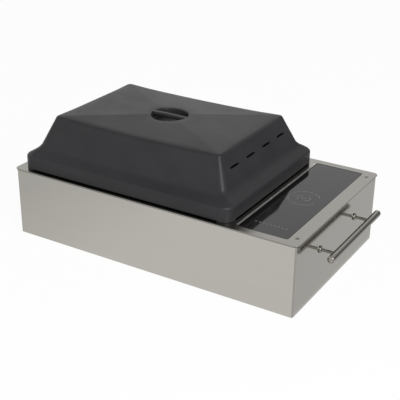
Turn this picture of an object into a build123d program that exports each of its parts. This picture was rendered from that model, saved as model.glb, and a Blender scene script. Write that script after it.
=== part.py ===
from build123d import *
from math import atan2, cos, pi, radians, sin, tan
import os

# Electric grill: a brushed stainless box with a top plate, a grill well under a
# lift-off lid, and a glass touch panel beside it. Millimetres, +Z up, floor at Z = 0.
# +X points to the handle end. X and Y are zero at the middle of the overall box.

# Casing: one folded band with in-turned flanges, and a base sheet inside it
casing_length = 540.0
casing_width = 315.0
casing_height = 121.0
casing_sheet = 1.2
casing_bend = 3.0
flange_side = 8.0
flange_end = 15.0
foot_flange = 22.0
base_sheet = 1.2

# Cooling slots in the base sheet
vent_length = 40.0
vent_width = 4.0
vent_pitch = 12.0
vent_count = 12

# Small fasteners
small_screw_radius = 1.5
small_nut_across = 5.5
small_nut_height = 2.4
small_head_radius = 2.8
small_head_height = 1.6
screw_end = 1.0
plate_screw_radius = 2.0
plate_screw_head = 4.0
plate_screw_length = 12.0
plate_nut_across = 7.0
plate_nut_height = 3.2
rivet_height = 1.2

# Feet
foot_height = 3.5
foot_radius = 8.0
foot_taper = 1.0
foot_inset_x = 12.0
foot_inset_y = 24.5
foot_head_sink = 0.4

# Top plate on its gasket
gasket_thickness = 1.5
gasket_width = 5.0
gasket_inset = 1.5
plate_thickness = 1.5
plate_overhang = 3.0
plate_corner = 9.0
plate_edge_round = 0.5
plate_screw_inset_x = 9.7
plate_screw_inset_y = 22.5
tongue_spacing = 180.0
tongue_width = 20.0
tongue_sheet = 1.5
tongue_reach = 7.0
tongue_gap = 0.3

# Glass panel in the plate
glass_length = 85.5
glass_side_margin = 12.0
glass_end_margin = 21.0
glass_thickness = 4.0
glass_corner = 3.0
glass_chamfer = 0.4
glass_drop = 0.3
glass_gap = 0.4
glass_ledge = 6.0
glass_gasket = 1.0
glass_gasket_setback = 1.0
seat_sheet = 1.0
seat_flange = 5.0
rail_width = 1.5
rail_height = 0.8
rail_root = 0.5
rail_round = 0.6

# Lid
lid_end_margin = 9.5
lid_side_margin = 5.0
lid_glass_gap = 11.0
lid_wall = 3.0
lid_corner = 21.5
lid_vent_gap = 2.5
lid_foot_length = 22.0
lid_skirt = 21.0
lid_edge_radius = 5.0
lid_edge_facets = 3
lid_shelf_slope = radians(31.0)
lid_hollow_radius = 24.0
lid_hollow_facets = 3
lid_wall_inset = 19.0
lid_wall_corner = 9.0
lid_top_inset = 43.8
lid_top_corner = 5.0
lid_height = 91.0
lid_crown = 3.5
lid_long_side_dip = 3.0
lid_dip_facets = 6
recess_radius = 33.5
recess_depth = 14.0
recess_wall = 2.5
grip_width = 7.5
grip_thickness = 7.0
slot_count = 4
slot_length = 29.0
slot_width = 3.4
slot_pitch = 53.0
slot_height = 66.0

# Grill well: a drawn tub with a ledge for the grate, hung from the plate by studs
well_end_inset = 19.5
well_side_inset = 18.5
well_corner = 24.0
well_sheet = 1.0
well_flange = 9.0
well_ledge = 9.0
well_seat_depth = 16.0
well_floor_gap = 18.8
well_floor_round = 8.0
stud_radius = 2.0
stud_length = 8.0
stud_inset_x = 30.0
stud_inset_y = 50.0
stud_long_count = 4
stud_short_count = 2

# Grate
grate_gap = 4.0
grate_thickness = 13.0
grate_frame = 10.0
grate_bar = 5.5
grate_bar_lift = 3.0
grate_bar_slope = 3.0
grate_pitch = 14.5
grate_tie = 8.0
grate_tie_lift = 1.0
grate_tie_height = 5.0
grate_tie_spacing = 84.0
grate_corner = 16.0
notch_length = 60.0
notch_depth = 6.0
notch_height = 6.0

# Drip tray
tray_end_gap = 28.0
tray_side_gap = 18.0
tray_height = 20.0
tray_sheet = 0.8
tray_corner = 14.0
tray_round = 4.0
tray_rim = 4.0

# Heating element and its plug
rod_radius = 4.0
rod_height = 50.0
rod_straight = 3.0
rod_side_gap = 20.0
rod_end_gap = 17.0
rod_step = 16.0
rod_plug_gap = 22.5
strap_spacing = 200.0
strap_width = 10.0
strap_thickness = 1.5
strap_gap = 3.5
plug_length = 20.0
plug_cheek = 10.0
plug_height = 20.0
plug_round = 3.0
plug_gap = 0.4
pin_radius = 2.5
pin_length = 14.0
pin_clearance = 0.25

# Socket behind the tub's end wall, and the limiter beside it
socket_length = 15.0
socket_cheek = 12.0
socket_height = 26.0
socket_collar = 6.0
socket_ear = 10.0
socket_ear_thickness = 5.0
socket_screw_reach = 8.0
tab_length = 6.0
tab_width = 6.4
tab_thickness = 0.8
limiter_side_gap = 41.0
limiter_radius = 8.0
limiter_depth = 9.0
limiter_ear = 6.0
limiter_ear_width = 8.0
limiter_ear_sheet = 1.0
limiter_tab_width = 4.0

# Shields between the hot and the cool side
shield_sheet = 0.8
heat_shield_gap_x = 20.0
heat_shield_gap_y = 35.5
heat_shield_gap_z = 16.1
heat_shield_foot = 10.0
heat_shield_rivet_inset = 42.0
insulation_thickness = 6.0
insulation_lift = 6.0
floor_shield_inset_x = 10.0
floor_shield_inset_y = 13.0
floor_shield_rise = 9.0
floor_shield_foot = 8.0
floor_shield_rivet_inset = 12.0
grommet_radius = 11.0
grommet_height = 34.0
grommet_wall = 2.5
grommet_lip = 1.5
grommet_lip_sheet = 2.0
grommet_clear = 2.0

# Touch controls under the glass
control_wall = 2.0
control_depth = 24.0
control_flange = 2.0
control_flange_play = 0.5
control_clear = 2.0
control_corner = 4.0
control_screw_inset_x = 3.5
control_screw_inset_y = 18.0
board_thickness = 1.6
board_corner = 2.0
board_screw_inset_x = 5.0
board_screw_inset_y = 6.0
touch_board_gap = 4.75
touch_board_width = 196.0
touch_board_drop = 10.0
electrode_radius = 4.0
electrode_count = 5
electrode_pitch = 26.0
light_ring_radius = 26.0
light_count = 12
light_radius = 1.5
light_height = 4.0

# Power board on the base
power_board_length = 56.0
power_board_width = 196.0
standoff_height = 8.0
standoff_radius = 3.0
standoff_blind = 2.0
relay_size = (20.0, 28.0, 16.0)
relay_places = (-22.0, 12.0)
relay_offset = -14.0
relay_chamfer = 0.8
transformer_size = (32.0, 36.0, 26.0)
transformer_inset_y = 32.0
coil_overhang = 6.0
capacitor_size = (10.0, 26.0, 18.0)
capacitor_offset = 18.0
capacitor_round = 1.5
terminal_size = (16.0, 42.0, 14.0)
terminal_setback = 16.0
terminal_inset_y = 32.0
terminal_ways = 5
terminal_pitch = 8.0
terminal_mouth_depth = 5.0
terminal_mouth_height = 6.0
terminal_screw_offset = 3.0
terminal_screw_depth = 3.0

# Handle on the end face
handle_reach = 28.0
handle_height = 78.5
bar_radius = 6.0
bar_length = 195.0
bar_shift = 5.0
bar_end_round = 1.5
post_radius = 2.5
post_spacing = 136.0
post_tap_depth = 14.0
collar_radius = 6.0
collar_thickness = 2.5
handle_screw_radius = 1.5
handle_screw_reach = 12.0

# Power inlet on the end away from the handle
inlet_height = 56.0
inlet_inset_y = 19.5
inlet_body_width = 20.0
inlet_body_height = 27.0
inlet_body_depth = 25.0
inlet_flange_width = 23.0
inlet_flange_height = 50.0
inlet_flange_thickness = 2.5
inlet_screw_spacing = 40.0
inlet_screw_sink = 0.6
inlet_screw_reach = 8.0
inlet_mouth_width = 15.5
inlet_mouth_height = 22.0
inlet_mouth_depth = 17.0
inlet_corner = 2.5
inlet_pin_size = (2.0, 4.0)
inlet_pin_length = 14.0
inlet_pin_places = ((0.0, 3.5), (-3.5, -3.5), (3.5, -3.5))

# Earth stud on the base sheet
earth_inset_x = 34.0
earth_inset_y = 40.0
earth_stud_length = 12.0
earth_nut_lift = 1.0

# Holes for fixing the box down from below
fixing_inset_x = 29.0
fixing_span_y = 120.0
fixing_radius = 2.75

# Internal leads
lead_radius = 3.5
lead_low = 6.0
lead_exit = 30.0
lead_fall = 30.0
lead_past_shield = 5.0
lead_turn_in = 10.0
lead_bends = (18.0, 20.0, 24.0, 16.0)
core_radius = 2.0
core_spread = 4.5
core_drop = 10.0
core_rise = 12.0
core_past_shield = 14.0
core_before_terminal = 12.0
core_stagger = 4.0
core_bends = (6.0, 4.0, 8.0, 8.0, 6.0)
signal_y = 36.0
signal_radius = 2.0
signal_slack = 6.0
signal_rise = (24.0, 44.0)
signal_end = 12.0
signal_bends = (10.0, 10.0, 10.0)
clip_first = -60.0
clip_pitch = 90.0
clip_count = 3
clip_width = 8.0
clip_wall = 1.5

# Small clearances and overlaps
slip = 0.2
screw_clearance = 0.2
countersink_gap = 0.1
overlap = 1.0

# Sizes and places worked out from the ones above
case_x = -(handle_reach + bar_radius - plate_overhang) / 2
case_left = case_x - casing_length / 2
case_right = case_x + casing_length / 2
case_side = casing_width / 2
case_bottom = foot_height
case_top = case_bottom + casing_height
floor_top = case_bottom + casing_sheet + base_sheet
plate_bottom = case_top + gasket_thickness
plate_top = plate_bottom + plate_thickness

glass_width = casing_width - 2 * glass_side_margin
glass_right = case_right - glass_end_margin
glass_x = glass_right - glass_length / 2
glass_left = glass_right - glass_length
glass_top = plate_top - glass_drop
glass_bottom = glass_top - glass_thickness
ledge_top = glass_bottom - glass_gasket
ledge_bottom = ledge_top - seat_sheet

lid_width = casing_width - 2 * lid_side_margin
lid_length = casing_length - lid_end_margin - glass_end_margin - glass_length - lid_glass_gap
lid_x = case_left + lid_end_margin + lid_length / 2
lid_bottom = plate_top
lid_shelf_inset = lid_edge_radius * (1 - sin(lid_shelf_slope))
lid_shelf_start = lid_skirt + lid_edge_radius * cos(lid_shelf_slope)
lid_wall_start = lid_shelf_start + (lid_wall_inset - lid_shelf_inset) * tan(lid_shelf_slope)
lid_wall_slope = atan2(lid_height - lid_wall_start, lid_top_inset - lid_wall_inset)

well_x = lid_x
well_length = lid_length - 2 * well_end_inset
well_width = lid_width - 2 * well_side_inset
well_lower_length = well_length - 2 * well_ledge
well_lower_width = well_width - 2 * well_ledge
well_seat = plate_top - well_seat_depth
well_bottom = floor_top + well_floor_gap
well_floor = well_bottom + well_sheet
well_end = well_x + well_lower_length / 2

tray_length = well_lower_length - 2 * tray_end_gap
tray_width = well_lower_width - 2 * tray_side_gap
tray_top = well_floor + tray_height
strap_half_span = tray_width / 2 + tray_rim + strap_gap + strap_thickness

rod_z = well_floor + rod_height
rod_pitch = (well_lower_width / 2 - well_sheet - rod_radius - rod_side_gap) / 2.5
rod_bend = rod_pitch / 2 - rod_straight
rod_outer_reach = well_lower_length / 2 - well_sheet - rod_radius - rod_end_gap
rod_inner_reach = rod_outer_reach - rod_step
rod_ends = (-rod_pitch / 2, rod_pitch / 2)

socket_face = well_end - well_sheet
socket_width = rod_pitch + 2 * socket_cheek
socket_screw_spacing = socket_width + socket_ear
socket_screw_places = (-socket_screw_spacing / 2, socket_screw_spacing / 2)
plug_width = rod_pitch + 2 * plug_cheek
plug_right = socket_face - plug_gap
plug_left = plug_right - plug_length
limiter_y = well_lower_width / 2 - limiter_side_gap

shield_x = well_x + well_length / 2 + heat_shield_gap_x
heat_shield_half = case_side - heat_shield_gap_y
heat_shield_top = plate_bottom - heat_shield_gap_z
grommet_z = floor_top + grommet_height
floor_shield_half_x = well_lower_length / 2 - floor_shield_inset_x
floor_shield_half_y = well_lower_width / 2 - floor_shield_inset_y
floor_shield_top = floor_top + floor_shield_rise

control_length = glass_length - 2 * glass_ledge - 2 * control_clear
control_width = glass_width - 2 * glass_ledge - 2 * control_clear
control_top = ledge_bottom
control_floor = control_top - control_depth
touch_board_length = control_length - 2 * control_wall - 2 * touch_board_gap
touch_board_top = glass_bottom - touch_board_drop
touch_board_bottom = touch_board_top - board_thickness
power_board_bottom = floor_top + standoff_height
power_board_top = power_board_bottom + board_thickness
terminal_x = glass_x - terminal_setback
terminal_y = power_board_width / 2 - terminal_inset_y
transformer_y = transformer_inset_y - power_board_width / 2
terminal_face = terminal_x - terminal_size[0] / 2
terminal_z = power_board_top + terminal_mouth_height

handle_z = case_bottom + handle_height
wall_inside = case_right - casing_sheet
bar_x = case_right + handle_reach
post_places = (-post_spacing / 2, post_spacing / 2)
plate_screw_x = case_right - plate_screw_inset_x
plate_screw_y = case_side - plate_screw_inset_y
inlet_y = case_side - inlet_inset_y
inlet_z = case_bottom + inlet_height
inlet_front = case_left - inlet_flange_thickness
inlet_back = case_left + inlet_body_depth
inlet_screw_levels = (inlet_z - inlet_screw_spacing / 2, inlet_z + inlet_screw_spacing / 2)
earth_x = case_left + earth_inset_x
earth_y = case_side - earth_inset_y
fixing_span_x = casing_length - 2 * fixing_inset_x
lead_y = inlet_y
lead_z = floor_top + lead_low


# Forms used throughout


def box(x0, x1, y0, y1, z0, z1):
    """A box between its low and high corners."""
    middle = Pos((x0 + x1) / 2, (y0 + y1) / 2, (z0 + z1) / 2)
    return middle * Box(x1 - x0, y1 - y0, z1 - z0)


def span(first, second):
    """Two places in rising order."""
    return min(first, second), max(first, second)


def about(middle, width):
    """The two sides of a width about its middle."""
    return middle - width / 2, middle + width / 2


def slab(x, length, width, corner, z0, z1):
    """A level plate with rounded corners, centred on Y = 0."""
    outline = RectangleRounded(length, width, corner)
    return extrude(Pos(x, 0, z0) * outline, z1 - z0)


def frame_slab(x, length, width, corner, border, z0, z1):
    """A slab with an opening that leaves the same border on each side."""
    inner = max(corner - border, 0.5)
    opening = slab(x, length - 2 * border, width - 2 * border, inner, z0, z1)
    return slab(x, length, width, corner, z0, z1) - opening


def rod_z_axis(x, y, radius, z0, z1):
    """An upright cylinder."""
    return Pos(x, y, (z0 + z1) / 2) * Cylinder(radius, z1 - z0)


def rod_x_axis(x0, x1, y, z, radius):
    """A cylinder along X."""
    return Pos((x0 + x1) / 2, y, z) * Rot(0, 90, 0) * Cylinder(radius, x1 - x0)


def screw_holes(places, z0, z1):
    """Upright clearance holes for small screws."""
    return [rod_z_axis(x, y, small_screw_radius + screw_clearance, z0, z1) for x, y in places]


def small_screw(x, y, head_z, tip_z):
    """A pan-head screw along Z, its head's flat at head_z, on the side away from the tip."""
    up = 1 if tip_z > head_z else -1
    head = rod_z_axis(x, y, small_head_radius, *span(head_z, head_z - up * small_head_height))
    return head + rod_z_axis(x, y, small_screw_radius, *span(head_z, tip_z))


def nut(x, y, z0, across, height, bore):
    """A hexagon nut with its hole, standing on z0."""
    outline = RegularPolygon(across / 2, 6, major_radius=False) - Circle(bore)
    return extrude(Pos(x, y, z0) * outline, height)


def small_nuts(places):
    """Nuts for small screws, standing on the base sheet."""
    size = (small_nut_across, small_nut_height, small_screw_radius)
    return group([nut(x, y, floor_top, *size) for x, y in places])


def corners(half_x, half_y, x=0.0):
    """The four corner places of a rectangle about (x, 0)."""
    return [(x + sx * half_x, sy * half_y) for sx in (-1, 1) for sy in (-1, 1)]


def spread(count, reach):
    """Evenly spread places from -reach to reach."""
    return [-reach + 2 * reach * i / (count - 1) for i in range(count)]


def pitched(count, pitch):
    """Places at a pitch, centred on zero."""
    return [(i - (count - 1) / 2) * pitch for i in range(count)]


def group(pieces):
    """Separate solids that share one node."""
    return Compound(children=[piece for solid in pieces for piece in solid.solids()])


# Casing

foot_places = corners(casing_length / 2 - foot_inset_x, case_side - foot_inset_y, case_x)
fixing_places = corners(fixing_span_x / 2, fixing_span_y / 2, case_x)
base_screw_reach = casing_length / 2 - 3 * foot_flange
base_screw_side = case_side - foot_flange / 2
base_screw_places = corners(base_screw_reach, base_screw_side, case_x)
base_screw_places += [(case_x, -base_screw_side), (case_x, base_screw_side)]


def make_casing_shell():
    """Four walls folded from one sheet, with flanges turned in at the top and the bottom."""
    inner_bend = casing_bend - casing_sheet
    shell = slab(case_x, casing_length, casing_width, casing_bend, case_bottom, case_top)
    inside_length = casing_length - 2 * casing_sheet
    inside_width = casing_width - 2 * casing_sheet
    low, high = case_bottom + casing_sheet, case_top - casing_sheet
    shell -= slab(case_x, inside_length, inside_width, inner_bend, low, high)
    top_mouth = (casing_length - 2 * flange_end, casing_width - 2 * flange_side)
    low_mouth = (casing_length - 2 * foot_flange, casing_width - 2 * foot_flange)
    shell -= slab(case_x, *top_mouth, inner_bend, high, case_top)
    shell -= slab(case_x, *low_mouth, inner_bend, case_bottom, low)
    for y in post_places:
        shell -= rod_x_axis(wall_inside, case_right, y, handle_z, handle_screw_radius + screw_clearance)
    for x, y in plate_screw_places:
        shell -= rod_z_axis(x, y, plate_screw_radius + screw_clearance, high, case_top)
    shell -= screw_holes(foot_places + base_screw_places, case_bottom, low)
    wall = (case_left, case_left + casing_sheet)
    mouth_width, mouth_height = inlet_body_width + 2 * slip, inlet_body_height + 2 * slip
    shell -= box(*wall, *about(inlet_y, mouth_width), *about(inlet_z, mouth_height))
    for z in inlet_screw_levels:
        shell -= rod_x_axis(*wall, inlet_y, z, small_screw_radius + screw_clearance)
    return shell


def make_casing_base():
    """The base sheet, lying on the lower flange, with cooling slots below the power board."""
    edge = casing_sheet + slip
    low = floor_top - base_sheet
    base = slab(case_x, casing_length - 2 * edge, casing_width - 2 * edge, casing_bend, low, floor_top)
    slot = SlotOverall(vent_length, vent_width)
    slots = [Pos(glass_x, y, low) * slot for y in pitched(vent_count, vent_pitch)]
    base -= extrude(Sketch(children=slots), base_sheet)
    base -= screw_holes(foot_places + base_screw_places, low, floor_top)
    return base - [rod_z_axis(x, y, fixing_radius, low, floor_top) for x, y in fixing_places]


def make_feet():
    """Rubber feet with a pocket for the screw's head."""
    feet = []
    pocket = small_head_height + foot_head_sink
    for x, y in foot_places:
        foot = Pos(x, y, foot_height / 2) * Cone(foot_radius - foot_taper, foot_radius, foot_height)
        foot -= rod_z_axis(x, y, small_head_radius + screw_clearance, 0, pocket)
        foot -= rod_z_axis(x, y, small_screw_radius + screw_clearance, 0, foot_height)
        feet.append(foot)
    return group(feet)


def make_foot_screws():
    head_z = small_head_height + foot_head_sink
    tip = floor_top + small_nut_height + screw_end
    return group([small_screw(x, y, head_z, tip) for x, y in foot_places])


def make_foot_nuts():
    return small_nuts(foot_places)


def make_base_screws():
    tip = floor_top + small_nut_height + screw_end
    return group([small_screw(x, y, case_bottom, tip) for x, y in base_screw_places])


def make_base_nuts():
    return small_nuts(base_screw_places)


# Top plate

plate_screw_places = [(plate_screw_x, -plate_screw_y), (plate_screw_x, plate_screw_y)]
opening_length = glass_length + 2 * glass_gap
opening_width = glass_width + 2 * glass_gap
rail_x = glass_left - glass_gap - rail_width / 2


def countersink(x, y, gap):
    """A countersunk head's cone, down from the plate's top."""
    depth = min(plate_screw_head - plate_screw_radius, plate_thickness)
    low_radius = plate_screw_head - depth + gap
    return Pos(x, y, plate_top - depth / 2) * Cone(low_radius, plate_screw_head + gap, depth)


def make_top_plate():
    """A flat plate with a large opening for the well, one for the glass, and a raised edge between them."""
    length = casing_length + 2 * plate_overhang
    width = casing_width + 2 * plate_overhang
    outline = slab(case_x, length, width, plate_corner, plate_bottom, plate_top)
    plate = fillet(outline.faces().sort_by(Axis.Z)[-1].edges(), plate_edge_round)
    plate -= slab(well_x, well_length, well_width, well_corner, plate_bottom, plate_top)
    corner = glass_corner + glass_gap
    plate -= slab(glass_x, opening_length, opening_width, corner, plate_bottom, plate_top)
    for x, y in plate_screw_places:
        plate -= countersink(x, y, countersink_gap)
        plate -= rod_z_axis(x, y, plate_screw_radius + screw_clearance, plate_bottom, plate_top)
    rail_length = opening_width - 2 * glass_corner
    rail_low, rail_high = plate_top - rail_root, plate_top + rail_height
    rail = box(*about(rail_x, rail_width), *about(0, rail_length), rail_low, rail_high)
    long_edges = rail.edges().filter_by(Axis.Y).group_by(Axis.Z)[-1]
    return plate + fillet(long_edges, rail_round)


def make_plate_gasket():
    """A flat black gasket between the casing's flange and the plate, set back from the edge."""
    length = casing_length - 2 * gasket_inset
    width = casing_width - 2 * gasket_inset
    return frame_slab(case_x, length, width, casing_bend, gasket_width, case_top, plate_bottom)


def make_plate_screws():
    screws = []
    for x, y in plate_screw_places:
        tip, neck = plate_top - plate_screw_length, plate_top - plate_thickness
        screws.append(countersink(x, y, 0) + rod_z_axis(x, y, plate_screw_radius, tip, neck))
    return group(screws)


def plate_nuts_below(places, top):
    """The larger nuts, hung below a level."""
    low = top - plate_nut_height
    return group([nut(x, y, low, plate_nut_across, plate_nut_height, plate_screw_radius) for x, y in places])


def make_plate_nuts():
    return plate_nuts_below(plate_screw_places, case_top - casing_sheet)


def make_plate_tongues():
    """Two tongues welded under the plate's far end, which hook below the casing's flange."""
    tongues = []
    inner = case_left + flange_end + tongue_gap
    hook_top = case_top - casing_sheet - tongue_gap
    hook_low = hook_top - tongue_sheet
    for y in pitched(2, tongue_spacing):
        side = about(y, tongue_width)
        web = box(inner, inner + tongue_sheet, *side, hook_low, plate_bottom)
        tongues.append(web + box(inner - tongue_reach, inner, *side, hook_low, hook_top))
    return group(tongues)


# Glass panel

seat_length = opening_length + 2 * seat_sheet
seat_width = opening_width + 2 * seat_sheet


def make_glass_panel():
    glass = slab(glass_x, glass_length, glass_width, glass_corner, glass_bottom, glass_top)
    return chamfer(glass.faces().sort_by(Axis.Z)[-1].edges(), glass_chamfer)


def make_glass_gasket():
    border = glass_ledge - glass_gasket_setback
    return frame_slab(glass_x, glass_length, glass_width, glass_corner, border, ledge_top, glass_bottom)


def make_glass_seat():
    """A folded frame under the plate: two flanges, an upright wall and a ledge for the glass."""
    corner = glass_corner + glass_gap + seat_sheet
    border = glass_gap + seat_sheet + glass_ledge
    seat = frame_slab(glass_x, seat_length, seat_width, corner, seat_sheet, ledge_bottom, plate_bottom)
    seat += frame_slab(glass_x, seat_length, seat_width, corner, border, ledge_bottom, ledge_top)
    for sign in (-1, 1):
        inner = glass_x + sign * seat_length / 2
        outer = inner + sign * seat_flange
        side = about(0, seat_width - 4 * corner)
        seat += box(*span(inner, outer), *side, plate_bottom - seat_sheet, plate_bottom)
    return seat - screw_holes(control_screw_places, ledge_bottom, ledge_top)


# Touch controls

control_screw_places = corners(glass_length / 2 - control_screw_inset_x,
                               glass_width / 2 - control_screw_inset_y, glass_x)
touch_bosses = corners(touch_board_length / 2 - board_screw_inset_x,
                       touch_board_width / 2 - board_screw_inset_y, glass_x)


def make_control_tray():
    """A moulded tray below the glass, flanged against the seat's ledge, with bosses for the board."""
    tray = slab(glass_x, control_length, control_width, control_corner, control_floor, control_top)
    inner_length = control_length - 2 * control_wall
    inner_width = control_width - 2 * control_wall
    inner_low = control_floor + control_wall
    tray -= slab(glass_x, inner_length, inner_width, control_corner - control_wall, inner_low, control_top)
    lip_length = glass_length - 2 * control_flange_play
    lip_width = glass_width - 2 * control_flange_play
    lip_low = control_top - control_flange
    border = glass_ledge + control_clear
    tray += frame_slab(glass_x, lip_length, lip_width, control_corner, border, lip_low, control_top)
    for x, y in touch_bosses:
        tray += rod_z_axis(x, y, standoff_radius, control_floor, touch_board_bottom)
        tray -= rod_z_axis(x, y, small_screw_radius, inner_low, touch_board_bottom)
    tray -= screw_holes(control_screw_places, lip_low, control_top)
    return tray - rod_z_axis(glass_x, signal_y, signal_radius + overlap, control_floor, inner_low)


def make_control_screws():
    head_z = control_top - control_flange
    return group([small_screw(x, y, head_z, ledge_top) for x, y in control_screw_places])


def make_touch_board():
    low, high = touch_board_bottom, touch_board_top
    board = slab(glass_x, touch_board_length, touch_board_width, board_corner, low, high)
    return board - screw_holes(touch_bosses, low, high)


def make_touch_board_screws():
    tip = control_floor + control_wall + screw_end
    return group([small_screw(x, y, touch_board_top, tip) for x, y in touch_bosses])


def make_touch_electrodes():
    """Spring electrodes that stand on the board and press on the glass from below."""
    places = pitched(electrode_count, electrode_pitch)
    return group([rod_z_axis(glass_x, y, electrode_radius, touch_board_top, glass_bottom) for y in places])


def make_indicator_lights():
    """A ring of small lamps below the touch ring."""
    lights = []
    for i in range(light_count):
        angle = 2 * pi * (i + 0.5) / light_count
        x = glass_x + light_ring_radius * cos(angle)
        y = light_ring_radius * sin(angle)
        lights.append(rod_z_axis(x, y, light_radius, touch_board_top, touch_board_top + light_height))
    return group(lights)


# Power board

power_screw_places = corners(power_board_length / 2 - board_screw_inset_x,
                             power_board_width / 2 - board_screw_inset_y, glass_x)


def on_board(x, y, size):
    """A component's block, standing on the power board."""
    return box(*about(x, size[0]), *about(y, size[1]), power_board_top, power_board_top + size[2])


def make_board_standoffs():
    posts = []
    for x, y in power_screw_places:
        post = rod_z_axis(x, y, standoff_radius, floor_top, power_board_bottom)
        post -= rod_z_axis(x, y, small_screw_radius, floor_top + standoff_blind, power_board_bottom)
        posts.append(post)
    return group(posts)


def make_power_board():
    low, high = power_board_bottom, power_board_top
    board = slab(glass_x, power_board_length, power_board_width, board_corner, low, high)
    return board - screw_holes(power_screw_places, low, high)


def make_power_board_screws():
    tip = floor_top + standoff_blind + screw_end
    return group([small_screw(x, y, power_board_top, tip) for x, y in power_screw_places])


def make_power_relays():
    relays = [on_board(glass_x + relay_offset, y, relay_size) for y in relay_places]
    return group([chamfer(relay.edges().group_by(Axis.Z)[-1], relay_chamfer) for relay in relays])


def make_transformer():
    """A small mains transformer: laminated core with the coil standing out on two sides."""
    length, width, height = transformer_size
    core = on_board(glass_x, transformer_y, transformer_size)
    rim = coil_overhang
    coil = on_board(glass_x, transformer_y, (length - 2 * rim, width + 2 * rim, height - 2 * rim))
    return core + Pos(0, 0, rim) * fillet(coil.edges().filter_by(Axis.Z), rim / 2)


def make_filter_capacitor():
    block = on_board(glass_x + capacitor_offset, 0, capacitor_size)
    return fillet(block.edges().group_by(Axis.Z)[-1], capacitor_round)


def terminal_way_y(way):
    """The middle of one way of the terminal block."""
    return terminal_y + pitched(terminal_ways, terminal_pitch)[way]


def make_mains_terminals():
    """A terminal block with five wire mouths on the side of the well and screw pockets on top."""
    block = on_board(terminal_x, terminal_y, terminal_size)
    top = power_board_top + terminal_size[2]
    mouth_end = terminal_face + terminal_mouth_depth
    screw_x = terminal_x + terminal_screw_offset
    for way in range(terminal_ways):
        y = terminal_way_y(way)
        block -= rod_x_axis(terminal_face, mouth_end, y, terminal_z, core_radius + slip)
        block -= rod_z_axis(screw_x, y, small_screw_radius, top - terminal_screw_depth, top)
    return block


# Grill well

flange_mid_x = well_length / 2 + well_flange / 2
flange_mid_y = well_width / 2 + well_flange / 2
stud_rows = spread(stud_long_count, well_length / 2 - stud_inset_x)
stud_columns = spread(stud_short_count, well_width / 2 - stud_inset_y)
stud_places = [(well_x + x, side * flange_mid_y) for x in stud_rows for side in (-1, 1)]
stud_places += [(well_x + side * flange_mid_x, y) for y in stud_columns for side in (-1, 1)]


def well_block(shrink, bottom, top):
    """The tub's outer form, drawn in by shrink on every side: a wide mouth over a narrower body."""
    step = well_seat - well_sheet + shrink
    upper_size = (well_length - 2 * shrink, well_width - 2 * shrink)
    lower_size = (well_lower_length - 2 * shrink, well_lower_width - 2 * shrink)
    upper = slab(well_x, *upper_size, well_corner - shrink, step, top)
    lower = slab(well_x, *lower_size, well_corner - well_ledge / 2 - shrink, bottom, well_seat)
    lower = fillet(lower.faces().sort_by(Axis.Z)[0].edges(), well_floor_round - shrink)
    return upper + lower


def make_grill_well():
    """A drawn steel tub with a flange below the plate and a ledge that carries the grate."""
    flange_size = (well_length + 2 * well_flange, well_width + 2 * well_flange)
    flange_low = plate_bottom - well_sheet
    well = slab(well_x, *flange_size, well_corner + well_flange, flange_low, plate_bottom)
    well += well_block(0, well_bottom, plate_bottom)
    well -= well_block(well_sheet, well_floor, plate_bottom)
    for x, y in stud_places:
        well -= rod_z_axis(x, y, stud_radius + screw_clearance, flange_low, plate_bottom)
    wall = (socket_face - overlap, well_end + overlap)
    neck_width = socket_width - 2 * socket_collar + 2 * slip
    neck_height = socket_height - socket_collar + 2 * slip
    well -= box(*wall, *about(0, neck_width), *about(rod_z, neck_height))
    for y in socket_screw_places:
        well -= rod_x_axis(*wall, y, rod_z, small_screw_radius + screw_clearance)
    return well


def make_well_studs():
    """Studs welded under the plate, through the tub's flange."""
    low = plate_bottom - stud_length
    return group([rod_z_axis(x, y, stud_radius, low, plate_bottom) for x, y in stud_places])


def make_well_nuts():
    return plate_nuts_below(stud_places, plate_bottom - well_sheet)


# Shields

floor_shield_screws = corners(floor_shield_half_x - floor_shield_rivet_inset,
                              floor_shield_half_y + floor_shield_foot / 2, well_x)
heat_shield_screws = [(shield_x + shield_sheet + heat_shield_foot / 2, y)
                      for y in spread(2, heat_shield_half - heat_shield_rivet_inset)]


def make_floor_shield():
    """A bright sheet between the tub and the base, on two folded feet."""
    along = about(well_x, 2 * floor_shield_half_x)
    top = floor_shield_top
    shield = box(*along, *about(0, 2 * floor_shield_half_y), top - shield_sheet, top)
    for sign in (-1, 1):
        outer = sign * floor_shield_half_y
        inner = outer - sign * shield_sheet
        toe = outer + sign * floor_shield_foot
        shield += box(*along, *span(outer, inner), floor_top, top)
        shield += box(*along, *span(outer, toe), floor_top, floor_top + shield_sheet)
    return shield - screw_holes(floor_shield_screws, floor_top, floor_top + shield_sheet)


def make_heat_shield():
    """An upright sheet between the well and the controls, on a folded foot."""
    wall = (shield_x, shield_x + shield_sheet)
    side = about(0, 2 * heat_shield_half)
    foot_top = floor_top + shield_sheet
    shield = box(*wall, *side, floor_top, heat_shield_top)
    shield += box(wall[0], wall[1] + heat_shield_foot, *side, floor_top, foot_top)
    shield -= rod_x_axis(*wall, 0, grommet_z, grommet_radius)
    return shield - screw_holes(heat_shield_screws, floor_top, foot_top)


def rivet(x, y, z):
    """A low round rivet head standing on z, its shank through the sheet below."""
    head = rod_z_axis(x, y, small_head_radius, z, z + rivet_height)
    return head + rod_z_axis(x, y, small_screw_radius, z - shield_sheet, z)


def make_shield_rivets():
    z = floor_top + shield_sheet
    return group([rivet(x, y, z) for x, y in floor_shield_screws + heat_shield_screws])


def make_insulation_board():
    """A mineral board on the hot side of the shield."""
    low, high = floor_top + insulation_lift, heat_shield_top - insulation_lift
    wall = (shield_x - insulation_thickness, shield_x)
    board = box(*wall, *about(0, 2 * heat_shield_half), low, high)
    return board - rod_x_axis(*wall, 0, grommet_z, grommet_radius + grommet_clear)


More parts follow.
